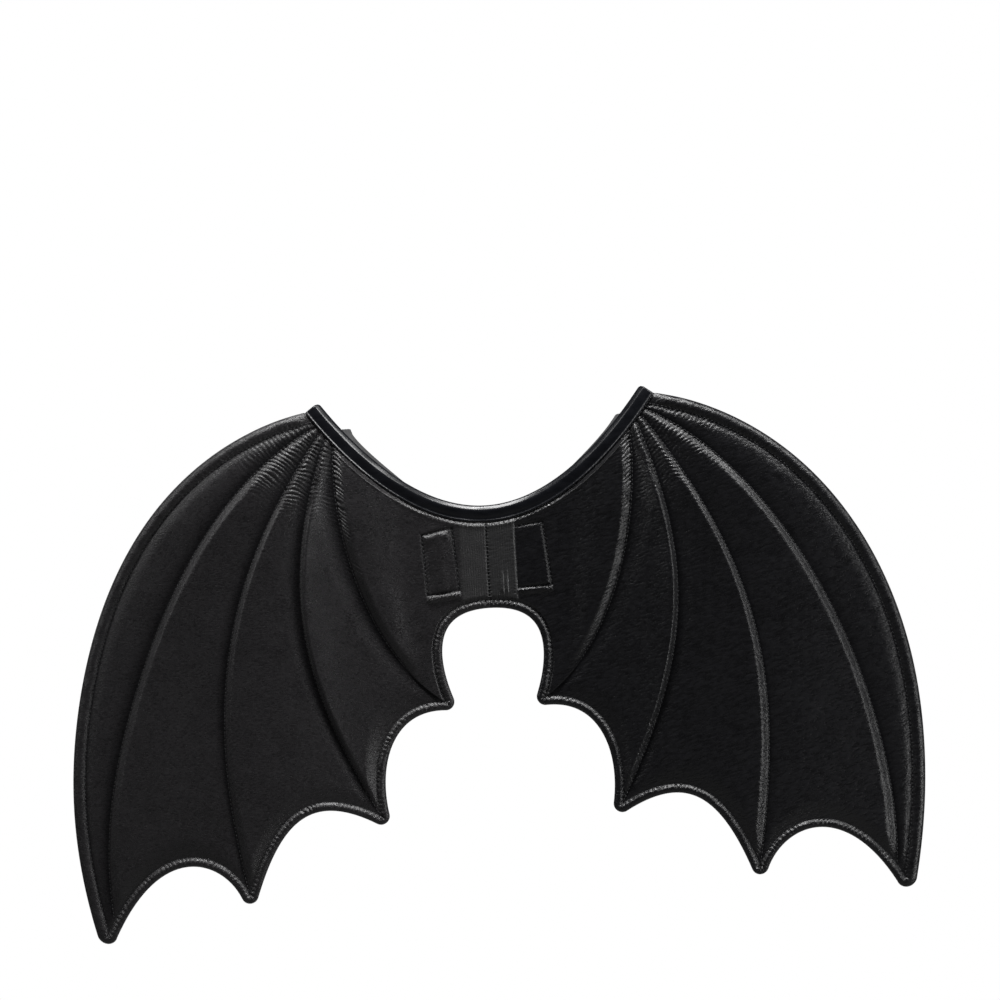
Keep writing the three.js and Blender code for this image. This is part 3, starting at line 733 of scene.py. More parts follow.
class Sheet:
    """One sheet of a wing, laid part by part. The back one ends on the edge points of the front one."""

    def __init__(self, piece, fine, side, seed):
        self.piece, self.fine, self.side, self.seed = piece, fine, side, seed
        self.down = np.concatenate([
            np.linspace(0, PEAK_ROWS_END, fine["rows_by_peak"], endpoint=False),
            np.linspace(PEAK_ROWS_END, 1, fine["rows_below"] + 1),
        ])
        # each panel's lowest row, on the rim stitch, and its highest one, on the neck seam
        self.feet, self.tops = [], []

    def place(self, x, z, half, **marks):
        """Points of this sheet over flat places, off the middle surface and hung as worn."""
        y = middle_surface(x, z) + self.fine["sign"] * half * self.fine["share"]
        x, z = hanging(x, z, self.side)
        return self.piece.add(np.stack([x, y, z], -1), **marks)

    def panel_places(self, panel, across, down):
        """Points of a panel. The inner panel runs over into the centre, and the back is a little plainer."""
        g = panel_grid(panel, across, down)
        if panel in CENTRE_PANELS:
            half, marks = centre_relief(g, self.side, self.seed)
        else:
            half, marks = panel_relief(panel, g, self.side, self.seed)
        if panel == INNER_PANEL:
            near = 1 - smooth(g["x"], *CENTRE_BLEND)
            centre, centre_marks = centre_relief(g, self.side, self.seed)
            half = half + (centre - half) * near
            # the painted shade of the centre takes over near the spine as well
            marks["sunk"] = marks["sunk"] * (1 - near) + centre_marks["sunk"] * near
        if self.fine["sign"] > 0:
            half = PLAIN_HALF + (half - PLAIN_HALF) * 0.9
        return self.place(g["x"], g["z"], half, along=g["along"], across=g["across"] * g["width"], **marks)

    def lay_rib_panels(self):
        """Rows between the ribs, with more columns where the panels are wide."""
        fine, down = self.fine, self.down
        level = np.searchsorted(LEVEL_STARTS, down, side="right")
        level[-1] = level[-2]
        self.line_points = [
            self.panel_places(min(line, INNER_PANEL), np.array([float(line > INNER_PANEL)]), down)[:, 0]
            for line in range(INNER_PANEL + 2)
        ]
        for panel in range(INNER_PANEL + 1):
            counts = fine["columns"]
            if panel == 0:
                counts = [fine["narrow_columns"]] * 3
            elif panel == INNER_PANEL:
                counts = [fine["wide_columns"]] * 3
            outer, inner = self.line_points[panel], self.line_points[panel + 1]
            rows, at = [], []
            for this_level, count in enumerate(counts):
                across = denser_at_ends(count)
                chosen = np.flatnonzero(level == this_level)
                if this_level == 2:
                    chosen = chosen[:-1]
                between = self.panel_places(panel, across[1:-1], down[chosen])
                for row, numbers in zip(chosen, between):
                    rows.append(np.concatenate([[outer[row]], numbers, [inner[row]]]))
                    at.append(across)
            scallop, foot_from, foot_to = FEET[panel]
            length = scallops[scallop].length * (foot_to - foot_from)
            across = np.linspace(0, 1, max(3, int(length / fine["rim_step"])) + 1)
            foot = self.panel_places(panel, across[1:-1], np.array([1.0]))[0]
            rows.append(np.concatenate([[outer[-1]], foot, [inner[-1]]]))
            at.append(across)
            for k in range(len(rows) - 1):
                self.piece.lace(rows[k], rows[k + 1], at[k], at[k + 1])
            self.feet.append((panel, across, rows[-1]))
            self.tops.append((panel, at[0], rows[0]))

    def lay_centre(self):
        """The centre panel, laced to the outer line of the anchor box."""
        column, column_down = self.line_points[-1], self.down
        centre_down = np.linspace(0, 1, self.fine["centre_rows"] + 1)
        for panel, count in zip(CENTRE_PANELS, self.fine["centre_columns"]):
            across = np.linspace(0, 1, count + 1)
            grid = self.panel_places(panel, across[1:], centre_down)
            self.piece.lace(column, grid[:, 0], column_down, centre_down)
            self.piece.lace_all(grid.T)
            self.feet.append((panel, across, np.concatenate([column[-1:], grid[-1]])))
            self.tops.append((panel, across, np.concatenate([column[:1], grid[0]])))
            column, column_down = grid[:, -1], centre_down
        return column

    def rim_path(self):
        """The rim stitch as one path: down the leading rim, round the tips and along the scallops."""
        leading = lines[0][1]
        share = line_share(0, self.down)
        square = leading.heading(share) + math.pi / 2
        turn = 1 - smooth(share, 0, 0.12)
        parts = [{
            "number": self.line_points[0],
            "angle": square + (neck_seam.heading(1) - square) * turn,
            "width": np.where(share > 0, LEADING_RIM, FIRST_RIB),
            "at": share,
            "from": leading.at(share),
            "run": share * leading.length,
            "scalloped": 0 * share,
        }]
        for panel, across, numbers in self.feet:
            scallop, shares = foot_place(panel, across)
            curve = scallops[scallop]
            angles = curve.heading(shares) + math.pi / 2
            if shares[0] == 0:
                parts.append(tip_fan(parts[-1], numbers[0], angles[0], scallop, self.fine["fan_steps"]))
            whole_turns = np.round((parts[-1]["angle"][-1] - angles[0]) / TAU)
            shares = shares[1:]
            parts.append({
                "number": numbers[1:],
                "angle": angles[1:] + TAU * whole_turns,
                "width": np.full(len(shares), SCALLOP_RIM),
                "at": 2 * scallop + 2 + shares,
                "from": curve.at(shares),
                "run": curve.length * shares,
                "scalloped": 0 * shares + 1,
            })
        return {key: np.concatenate([part[key] for part in parts]) for key in parts[0]}

    def lay_rim(self, path, placed):
        """The padded rim outside the stitch. Only the placed columns are new points."""
        t = RIM_SECTION[None, :]
        leading = path["scalloped"] < 0.5
        leading_crown = EDGE_HALF + (RIM_HALF - EDGE_HALF) * smooth(path["run"], 0, 12)
        crown = np.where(leading, leading_crown, RIM_HALF)
        reach = path["width"][:, None] * t
        x = path["from"][:, 0:1] + reach * np.cos(path["angle"])[:, None]
        z = path["from"][:, 1:2] + reach * np.sin(path["angle"])[:, None]
        half = rim_half(t, crown[:, None])
        beads = gathers(path["run"][:, None], reach, self.seed + DRAWS["rim tucks"], PUCKER_PITCH)
        depth = np.where(leading, LEADING_TUCK_DEPTH, SCALLOP_TUCK_DEPTH)[:, None]
        depth = depth * patchy(self.seed + DRAWS["rim patches"], x, z, 16.0, 0.7, 0.5)
        half = half - depth * (1 - beads) * band(reach, *RIM_TUCKS) * np.minimum(1, half)
        half = half * (1 + 0.05 * unevenness(self.seed + DRAWS["rim slack"], x, z, 15.0) * (t < 0.9))
        half = np.where(t == 1, 0, half)
        rim = self.place(x[:, placed], z[:, placed], half[:, placed],
                         along=path["run"][:, None], across=reach[:, placed])
        columns = np.concatenate([path["number"][:, None], rim], 1)
        self.piece.lace_all(columns.T)
        return columns

    def lay_neck_edge(self, peak_ring, placed):
        """The flattened edge above the neck seam, hidden in the binding. Only the placed rows are new."""
        peak_shares = 1 - FIRST_RIB * (1 - np.concatenate([[0.0], RIM_SECTION])) / neck_seam.length
        shares, numbers = [peak_shares[:len(peak_ring)][::-1]], [peak_ring[::-1]]
        for panel, across, row in self.tops:
            shares.append(seam_share(panel, across)[1:])
            numbers.append(row[1:])
        shares, numbers = np.concatenate(shares), np.concatenate(numbers)
        start = np.concatenate(self.piece.points)[numbers]
        square = neck_seam.heading(shares) + math.pi / 2
        up = BAND_SECTION[:, None] * BINDING_DEPTH
        x = start[None, :, 0] + up * np.cos(square)
        z = start[None, :, 2] + up * np.sin(square)
        near_end = smooth((1 - shares) * neck_seam.length, -0.2, 1.6)
        half = BAND_HALF[:, None] * (0.35 + 0.65 * near_end)
        if self.fine["sign"] < 0:
            half[:, 0] = 0
        edge = np.concatenate([numbers[None], self.place(x[placed], z[placed], half[placed])])
        self.piece.lace_all(edge)
        return edge, shares


def tip_fan(before, number, angle, scallop, steps):
    """The part of the rim path that turns about a tip, up to the given angle."""
    last_angle, last_width, last_run = before["angle"][-1], before["width"][-1], before["run"][-1]
    swing = (angle - last_angle) % TAU - TAU
    part = np.linspace(0, 1, steps + 1)[1:]
    widths = last_width + (SCALLOP_RIM - last_width) * part
    return {
        "number": np.full(steps, number),
        "angle": last_angle + swing * part,
        "width": widths,
        "at": 2 * scallop + 1 + part,
        "from": np.repeat(scallops[scallop].at(0)[None], steps, 0),
        "run": last_run + widths * np.abs(swing) * part * 0.5,
        "scalloped": 0 * part + 1,
    }


def lay_sheet(piece, fine, side, seed, front=None):
    """Lays a sheet of a wing and returns its edges. The back sheet is laced to the front one's."""
    sheet = Sheet(piece, fine, side, seed)
    placed = slice(None) if front is None else slice(None, -1)
    sheet.lay_rib_panels()
    spine_column = sheet.lay_centre()
    path = sheet.rim_path()
    rim = sheet.lay_rim(path, placed)
    neck, seam_shares = sheet.lay_neck_edge(rim[0], placed)
    spine = np.concatenate([neck[1:, -1][::-1], spine_column, rim[-1][1:]])
    edges = {
        "rim": (rim[:, -1], path["at"]),
        "neck": (neck[-1], -seam_shares),
        "corner": (neck[:, 0], np.arange(len(neck))),
        "spine": (spine, -np.concatenate(piece.points)[spine, 2]),
    }
    if front is not None:
        pairs = [(edges[name], front[name]) for name in ("rim", "neck", "corner")]
        for (a, at_a), (b, at_b) in pairs + [(front["spine"], edges["spine"])]:
            piece.lace(a, b, at_a, at_b)
    return edges


def wing_cloth(side):
    piece = Piece()
    seed = CLOTH_SEEDS[side]
    front = lay_sheet(piece, FRONT, side, seed)
    lay_sheet(piece, BACK, side, seed, front)
    cloth = piece.build(f"wing_{side}_cloth", mirror=side == "left")
    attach(cloth, "root")
    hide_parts(f"wing_{side}")
    return cloth


left_cloth = wing_cloth("left")
right_cloth = wing_cloth("right")


# Neck binding: satin tape folded over the concave edge

# Outer face of the folded tape: out from the neck seam, and off the middle surface
TAPE_FACE = [
    (0.3, 1.95), (0.4, 2.4), (0.7, 2.72), (1.1, 2.74), (1.6, 2.45), (2.1, 2.1), (2.8, 2.12),
    (3.8, 2.4), (5.0, 2.7), (6.4, 2.98), (7.6, 3.15), (8.6, 3.2), (9.2, 3.02), (9.9, 2.56),
    (10.7, 1.98), (11.4, 1.46), (12.0, 0.95), (12.35, 0.5), (BINDING_CROWN, 0.0),
]
TAPE_INSIDE = EDGE_HALF + CLEARANCE
TAPE_STEPS = 210


def binding_section():
    """Points of the folded tape round its section, from the back lip over the fold to the front lip."""
    back = [(up, -off) for up, off in TAPE_FACE[:-1]]
    fold = BINDING_DEPTH + CLEARANCE
    inner = [
        (CLEARANCE + 0.3, TAPE_INSIDE - 0.05),
        (2.0, TAPE_INSIDE),
        (fold * 0.5, TAPE_INSIDE),
        (fold - 0.5, TAPE_INSIDE),
        (fold, TAPE_INSIDE - 0.5),
    ]
    return np.array(back + TAPE_FACE[::-1] + inner + [(up, -off) for up, off in inner[::-1]])


def neck_tape():
    section = binding_section()
    shares = np.linspace(-1, 1, 2 * TAPE_STEPS + 1)
    side = np.where(shares < 0, -1.0, 1.0)
    place = np.abs(shares)
    start = neck_seam.at(place)
    start[TAPE_STEPS, 0] = 0
    square = neck_seam.heading(place) + math.pi / 2
    run = place * neck_seam.length * side
    # each end is turned in and rounded a little
    to_end = (1 - place) * neck_seam.length
    plump = 0.8 + 0.2 * np.sqrt(smooth(to_end, -0.01, 1.2))
    middle_up = section[:, 0].mean()
    up = middle_up + (section[None, :, 0] - middle_up) * plump[:, None]
    rounding = 1 - np.sqrt(1 - (1 - np.clip(to_end / END_ROUNDING, 0, 1)) ** 2)
    up = np.minimum(up, BINDING_CROWN - END_ROUNDING * 0.9 * rounding[:, None])
    off = section[None, :, 1] * plump[:, None]
    soft = unevenness(TAPE_SEEDS["soft"], run[:, None], section[None, :, 0] * 2, 26.0)
    tucks = gathers(np.abs(run)[:, None], 0 * up, TAPE_SEEDS["tucks"], NECK_TUCK_PITCH, 0.9)
    low = 1 - smooth(up, 1.4, 4.0)
    outward = np.sign(off) * smooth(np.abs(off), TAPE_INSIDE + 0.05, TAPE_INSIDE + 0.3)
    off = off + outward * (0.10 * soft - 0.12 * (1 - tucks) * low)
    x = start[:, 0:1] + up * np.cos(square)[:, None]
    z = start[:, 1:2] + up * np.sin(square)[:, None]
    piece = Piece()
    points = np.stack([side[:, None] * x, middle_surface(x, z) + off, z], -1)
    around = np.arange(len(section)) / len(section)
    numbers = piece.add(points, along=run[:, None], across=around)
    piece.lace_all(np.concatenate([numbers, numbers[:, :1]], 1))
    outer = 2 * len(TAPE_FACE) - 1
    for ring in (numbers[0], numbers[-1]):
        piece.lace(ring[:outer], ring[:outer - 1:-1])
    tape = piece.build("neck_tape")
    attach(tape, "root")
    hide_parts("neck_binding")
    return tape


# Shoulder loops: ribbed elastic, on the same route as in the part

# Behind the neck edge: across as a share of the peak's reach, up as a share of its rise, and off in mm
BEHIND_NECK = [(0.28, 0.045, 0), (0.43, 0.19, 1.5), (0.6, 0.42, 4)]
# Over the top and down, then back below: across, forward, and up or down, as shares of the armhole's
OVER_THE_TOP = [(0.903, 0.12, 0.92), (0.95, 0.32, 1), (0.96, 0.62, 0.92), (1, 0.88, 0.6), (1, 1, 0.12)]
BACK_BELOW = [(1, 0.92, 0.45), (0.93, 0.66, 0.9), (0.78, 0.36, 1), (0.55, 0.15, 0.78)]
SPLINE_STEPS = 60
LOOP_STEPS = 330
LOOP_COLUMNS = 45
LOOP_RIBS = 11
LOOP_RIB_DEPTH = 0.2


def loop_route():
    """Places that a loop passes, from the top end behind its box round to the foot end."""
    seat = MIDDLE_Y + CENTRE_HALF * BACK_SHARE + CLEARANCE + STRAP_THICK / 2
    box_middle = BOX_INNER + BOX_WIDTH / 2
    rise = PEAK_HEIGHT - NECK_DIP
    route = [(box_middle, seat, END_GAP / 2), (box_middle, seat, BOX_TOP * 0.5)]
    route.append((box_middle, seat + CLEARANCE, BOX_TOP * 0.86))
    for across, up, off in BEHIND_NECK:
        route.append((PEAK_REACH * across, MIDDLE_Y + STRAP_OVER_BINDING + off, NECK_DIP + rise * up))
    for across, forward, up in OVER_THE_TOP:
        route.append((ARMHOLE_REACH * across, ARMHOLE_DEPTH * forward, ARMHOLE_TOP * up))
    for across, forward, down in BACK_BELOW:
        route.append((ARMHOLE_REACH * across, ARMHOLE_DEPTH * forward, -ARMHOLE_FOOT * down))
    route.append((box_middle + 4, seat + 4.6, BOX_FOOT * 1.5))
    route.append((box_middle, seat + CLEARANCE, BOX_FOOT * 0.9))
    route.append((box_middle, seat, BOX_FOOT * 0.5))
    route.append((box_middle, seat, -END_GAP / 2))
    return np.array(route, float)


def through(route, steps):
    """A smooth line through the points of a route, in even steps: a centripetal Catmull-Rom spline."""
    ends = np.concatenate([[2 * route[0] - route[1]], route, [2 * route[-1] - route[-2]]])
    t = np.linspace(0, 1, SPLINE_STEPS, endpoint=False)[:, None]
    found = []
    for p0, p1, p2, p3 in zip(ends, ends[1:], ends[2:], ends[3:]):
        d0, d1, d2 = (math.sqrt(np.linalg.norm(b - a)) for a, b in ((p0, p1), (p1, p2), (p2, p3)))
        leave = ((p1 - p0) / d0 - (p2 - p0) / (d0 + d1) + (p2 - p1) / d1) * d1
        arrive = ((p2 - p1) / d1 - (p3 - p1) / (d1 + d2) + (p3 - p2) / d2) * d1
        a = -3 * p1 + 3 * p2 - 2 * leave - arrive
        b = 2 * p1 - 2 * p2 + leave + arrive
        found.append(p1 + leave * t + a * t ** 2 + b * t ** 3)
    line = np.concatenate(found + [route[-1:]])
    run = np.concatenate([[0], np.cumsum(np.linalg.norm(np.diff(line, axis=0), axis=1))])
    even = np.linspace(0, run[-1], steps + 1)
    return np.stack([np.interp(even, run, line[:, k]) for k in range(3)], 1), even


def shoulder_loop(side):
    middle, run = through(loop_route(), LOOP_STEPS)
    along = np.gradient(middle, axis=0)
    along /= np.linalg.norm(along, axis=1)[:, None]
    axis = np.array([0, ARMHOLE_DEPTH * 0.5, ARMHOLE_TOP * 0.15])
    outward = middle - axis
    outward[:, 0] = 0
    outward -= along * (outward * along).sum(1)[:, None]
    outward /= np.linalg.norm(outward, axis=1)[:, None]
    across = np.cross(along, outward)
    w = np.linspace(-1, 1, LOOP_COLUMNS)
    plump = (1 - np.abs(w) ** 9) ** 0.5
    ribs = 0.5 + 0.5 * np.cos(math.pi * LOOP_RIBS * w)
    half = STRAP_THICK / 2 * plump * (1 - LOOP_RIB_DEPTH * ribs)
    offsets = np.concatenate([np.stack([w, half], 1), np.stack([w, -half], 1)[::-1][1:-1]])
    shape = middle[:, None] + across[:, None] * offsets[None, :, :1] * STRAP_WIDTH / 2
    shape = shape + outward[:, None] * offsets[None, :, 1:]
    piece = Piece()
    numbers = piece.add(shape, along=run[:, None], across=offsets[None, :, 0] * STRAP_WIDTH / 2)
    piece.lace_all(np.concatenate([numbers, numbers[:, :1]], 1))
    for ring in (numbers[0], numbers[-1]):
        face, rest = ring[:LOOP_COLUMNS], ring[LOOP_COLUMNS:]
        piece.lace(face, np.concatenate([face[:1], rest[::-1], face[-1:]]))
    loop = piece.build(f"elastic_loop_{side}", mirror=side == "left")
    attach(loop, "root")
    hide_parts(f"strap_{side}")
    return loop


# Stitching: short threads that lie in the grooves

THREAD_RINGS = np.array([-1.0, -0.8, -0.35, 0.35, 0.8, 1.0])
THREAD_TAPER = np.array([0.4, 0.85, 1.0, 1.0, 0.85, 0.4])
THREAD_SIDES = 6
STITCH_WANDER = 0.12
STITCH_LEAN = 0.07
STITCH_SPREAD = 0.06


def sew(piece, line, rng, pitch=STITCH_PITCH, length=STITCH_LENGTH, out=(0, -1, 0), crosswise=False):
    """Adds a row of stitches along a line of points."""
    run = np.concatenate([[0], np.cumsum(np.linalg.norm(np.diff(line, axis=0), axis=1))])
    count = max(1, int(run[-1] / pitch))
    wander = rng.uniform(-STITCH_WANDER, STITCH_WANDER, count)
    middle = (np.arange(count) + 0.5) * run[-1] / count + wander * pitch
    centre = np.stack([np.interp(middle, run, line[:, k]) for k in range(3)], 1)
    ahead_of = np.stack([np.interp(middle + 0.4, run, line[:, k]) for k in range(3)], 1)
    behind = np.stack([np.interp(middle - 0.4, run, line[:, k]) for k in range(3)], 1)
    along = ahead_of - behind
    along /= np.linalg.norm(along, axis=1)[:, None] + 1e-9
    normal = np.array(out, float) - along * (along @ np.array(out, float))[:, None]
    normal /= np.linalg.norm(normal, axis=1)[:, None]
    beside = np.cross(along, normal)
    if crosswise:
        along, beside = beside, along
    lean_by = rng.normal(0, STITCH_LEAN, count)[:, None]
    along, beside = along + beside * lean_by, beside - along * lean_by
    sizes = length * (1 + rng.normal(0, STITCH_SPREAD, count))
    ahead = THREAD_RINGS[None, :, None] * sizes[:, None, None] / 2
    arch = THREAD * (0.55 - 0.9 * THREAD_RINGS ** 4)
    spot = centre[:, None] + along[:, None] * ahead + normal[:, None] * arch[None, :, None]
    turns = np.linspace(0, TAU, THREAD_SIDES, endpoint=False)
    circle = beside[:, None, None] * np.cos(turns)[None, None, :, None]
    circle = circle + normal[:, None, None] * np.sin(turns)[None, None, :, None]
    points = spot[:, :, None] + circle * (THREAD / 2 * THREAD_TAPER)[None, :, None, None]
    numbers = piece.add(points)
    ring_a, ring_b = numbers[:, :-1], numbers[:, 1:]
    after_a, after_b = np.roll(ring_a, -1, axis=2), np.roll(ring_b, -1, axis=2)
    piece.triangles.append(np.stack([ring_a, ring_b, after_b], -1).reshape(-1, 3))
    piece.triangles.append(np.stack([ring_a, after_b, after_a], -1).reshape(-1, 3))
    for end in (numbers[:, 0], numbers[:, -1]):
        for k in range(1, THREAD_SIDES - 1):
            piece.triangles.append(np.stack([end[:, 0], end[:, k], end[:, k + 1]], 1))


def on_front(xz, half, side="right"):
    """Points of the front sheet over flat places."""
    x, z = hanging(xz[:, 0], xz[:, 1], side)
    return np.stack([x, middle_surface(xz[:, 0], xz[:, 1]) - half, z], 1)


def wing_stitching(side):
    piece = Piece()
    rng = np.random.default_rng(STITCH_SEEDS[side])
    shares = np.linspace(0.008, 0.995, 300)
    for curve in [rib for _, rib in lines[:len(RIBS)]] + scallops:
        sew(piece, on_front(curve.at(shares), GROOVE_HALF, side), rng)
    for start, end in box_sides(side):
        row = start + (end - start) * np.linspace(0.03, 0.97, 30)[:, None]
        sew(piece, on_front(row, CENTRE_HALF - BOX_LINE_DEPTH), rng)
    seam = neck_seam.at(np.linspace(0.01, 0.985, 300))
    sew(piece, on_front(seam, EDGE_HALF - 0.05), rng, NECK_STITCH_PITCH, NECK_STITCH_LENGTH)
    thread = piece.build(f"stitching_{side}", mirror=side == "left")
    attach(thread, "root")
    return thread


def spine_stitching():
    piece = Piece()
    rng = np.random.default_rng(SPINE_STITCH_SEED)
    height = np.linspace(-KEYHOLE_TOP + 0.5, NECK_DIP - 1.5, 60)
    top = CENTRE_HALF + CENTRE_RISE - 0.7
    line = on_front(np.stack([0 * height, height], 1), top)
    sew(piece, line, rng, SPINE_STITCH, SPINE_STITCH_LENGTH, crosswise=True)
    thread = piece.build("spine_stitching")
    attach(thread, "root")
    return thread


tape = neck_tape()
loops = [shoulder_loop("left"), shoulder_loop("right")]
threads = [wing_stitching("left"), wing_stitching("right"), spine_stitching()]


# Shader node helpers

class Graph:
    """A short way to add and join the nodes of one tree."""

    def __init__(self, tree):
        self.tree = tree

    def add(self, kind, values=(), **settings):
        made = self.tree.nodes.new(kind)
        for key, value in settings.items():
            setattr(made, key, value)
        for key, value in dict(values).items():
            made.inputs[key].default_value = value
        return made

    def join(self, source, target):
        self.tree.links.new(source, target)

    def maths(self, operation, a, b=None):
        made = self.add("ShaderNodeMath", operation=operation)
        for socket, value in zip(made.inputs, (a, b)):
            if value is None:
                continue
            if isinstance(value, (int, float)):
                socket.default_value = value
            else:
                self.join(value, socket)
        return made.outputs[0]

    def mix(self, share, a, b):
        made = self.add("ShaderNodeMix", data_type="RGBA")
        for socket, value in ((made.inputs[0], share), (made.inputs[6], a), (made.inputs[7], b)):
            if isinstance(value, (int, float, tuple)):
                socket.default_value = value
            else:
                self.join(value, socket)
        return made.outputs[2]

    def mix_shaders(self, share, a, b):
        made = self.add("ShaderNodeMixShader")
        for socket, source in zip(made.inputs, (share, a, b)):
            self.join(source, socket)
        return made.outputs[0]

    def mark(self, name):
        return self.add("ShaderNodeAttribute", attribute_name=name).outputs["Fac"]


def new_group(name, inputs, outputs):
    group = bpy.data.node_groups.new(name, "ShaderNodeTree")
    for label, kind, value in inputs:
        socket = group.interface.new_socket(label, in_out="INPUT", socket_type=kind)
        socket.default_value = value
    for label, kind in outputs:
        group.interface.new_socket(label, in_out="OUTPUT", socket_type=kind)
    graph = Graph(group)
    return group, graph, graph.add("NodeGroupInput"), graph.add("NodeGroupOutput")


def crepe_group():
    """Short crosswise ripples, a fine grain and a mottle, as woven crepe has."""
    group, g, into, out = new_group(
        "crepe weave",
        [("Ripple Scale", "NodeSocketFloat", 700.0), ("Grain Scale", "NodeSocketFloat", 1500.0),
         ("Slant", "NodeSocketFloat", 0.0), ("Ripple", "NodeSocketFloat", 0.5),
         ("Grain", "NodeSocketFloat", 0.5)],
        [("Height", "NodeSocketFloat"), ("Mottle", "NodeSocketFloat")],
    )
    place = g.add("ShaderNodeTexCoord").outputs["Object"]
    apart = g.add("ShaderNodeSeparateXYZ")
    g.join(place, apart.inputs[0])
    slanted = g.add("ShaderNodeCombineXYZ")
    g.join(g.maths("MULTIPLY", apart.outputs["X"], 0.3), slanted.inputs["X"])
    g.join(apart.outputs["Y"], slanted.inputs["Y"])
    rise = g.maths("MULTIPLY", apart.outputs["X"], into.outputs["Slant"])
    g.join(g.maths("SUBTRACT", apart.outputs["Z"], rise), slanted.inputs["Z"])
    ripple = g.add("ShaderNodeTexNoise", {"Detail": 1.5, "Roughness": 0.5, "Distortion": 0.3})
    g.join(slanted.outputs[0], ripple.inputs["Vector"])
    g.join(into.outputs["Ripple Scale"], ripple.inputs["Scale"])
    grain = g.add("ShaderNodeTexNoise", {"Detail": 2.0, "Roughness": 0.6})
    g.join(place, grain.inputs["Vector"])
    g.join(into.outputs["Grain Scale"], grain.inputs["Scale"])
    a = g.maths("MULTIPLY", ripple.outputs["Fac"], into.outputs["Ripple"])
    b = g.maths("MULTIPLY", grain.outputs["Fac"], into.outputs["Grain"])
    g.join(g.maths("ADD", a, b), out.inputs["Height"])
    patch = g.add("ShaderNodeTexNoise", {"Scale": 45.0, "Detail": 4.0, "Roughness": 0.65})
    g.join(place, patch.inputs["Vector"])
    weights = ((patch, 0.16), (grain, 0.42), (ripple, 0.42))
    parts = [g.maths("MULTIPLY", node.outputs["Fac"], share) for node, share in weights]
    mixed = g.maths("ADD", g.maths("ADD", parts[0], parts[1]), parts[2])
    stretched = g.add("ShaderNodeMapRange", {"From Min": 0.36, "From Max": 0.64})
    g.join(mixed, stretched.inputs["Value"])
    g.join(stretched.outputs["Result"], out.inputs["Mottle"])
    return group


def ribbed_group():
    """Lengthwise ribs and fine crosswise threads, as ribbed elastic has. Lengths are in millimetres."""
    group, g, into, out = new_group(
        "ribbed elastic",
        [("Across", "NodeSocketFloat", 0.0), ("Along", "NodeSocketFloat", 0.0),
         ("Rib Pitch", "NodeSocketFloat", 2.0), ("Thread Pitch", "NodeSocketFloat", 0.9)],
        [("Height", "NodeSocketFloat")],
    )

    def wave(length, pitch):
        turned = g.maths("DIVIDE", g.maths("MULTIPLY", length, TAU), pitch)
        return g.maths("ADD", g.maths("MULTIPLY", g.maths("COSINE", turned), 0.5), 0.5)

    ribs = wave(into.outputs["Across"], into.outputs["Rib Pitch"])
    threads_across = wave(into.outputs["Along"], into.outputs["Thread Pitch"])
    total = g.maths("ADD", g.maths("MULTIPLY", ribs, 0.65), g.maths("MULTIPLY", threads_across, 0.35))
    g.join(total, out.inputs["Height"])
    return group


crepe = crepe_group()
ribbed = ribbed_group()


def new_material(name):
    material = bpy.data.materials.new(name)
    material.use_nodes = True
    material.node_tree.nodes.clear()
    g = Graph(material.node_tree)
    shader = g.add("ShaderNodeBsdfPrincipled")
    out = g.add("ShaderNodeOutputMaterial")
    g.join(shader.outputs[0], out.inputs["Surface"])
    return material, g, shader


def place_group(g, group, **values):
    made = g.add("ShaderNodeGroup", node_tree=group)
    for key, value in values.items():
        socket = made.inputs[key.replace("_", " ")]
        if isinstance(value, (int, float)):
            socket.default_value = value
        else:
            g.join(value, socket)
    return made


def bumped(g, shader, height, distance, strength=1.0):
    bump = g.add("ShaderNodeBump", {"Strength": strength, "Distance": distance})
    g.join(height, bump.inputs["Height"])
    g.join(bump.outputs["Normal"], shader.inputs["Normal"])


# The right half is a darker copy of the same cloth: its darker colours are painted shade. Its nap lies the
# other way, and it is rippled more.
CLOTH = {
    "left": {
        "dark": (0.005, 0.0047, 0.0051, 1), "light": (0.021, 0.0198, 0.0213, 1),
        "specular": 0.42, "slant": 0.05, "ripple_scale": 1150.0, "ripple": 0.35, "grain": 0.5,
    },
    "right": {
        "dark": (0.0015, 0.0015, 0.0018, 1), "light": (0.007, 0.007, 0.0083, 1),
        "specular": 0.38, "slant": 0.24, "ripple_scale": 620.0, "ripple": 0.75, "grain": 0.3,
    },
}
# Painted shade in the grooves, on the box stitch lines and on the spine seam: a darker colour and a weaker
# reflection
PAINTED_SHADE_COLOUR = (0.002, 0.002, 0.0025, 1)
STRIP_COLOUR = (0.038, 0.038, 0.038, 1)
PAINTED_SHADE_STRENGTH = 0.7
PAINTED_SHADE_DULLING = 0.75
STRIP_PALENESS = 0.5
LEAST_ROUGHNESS = 0.22
MOTTLE_ROUGHNESS = 0.13


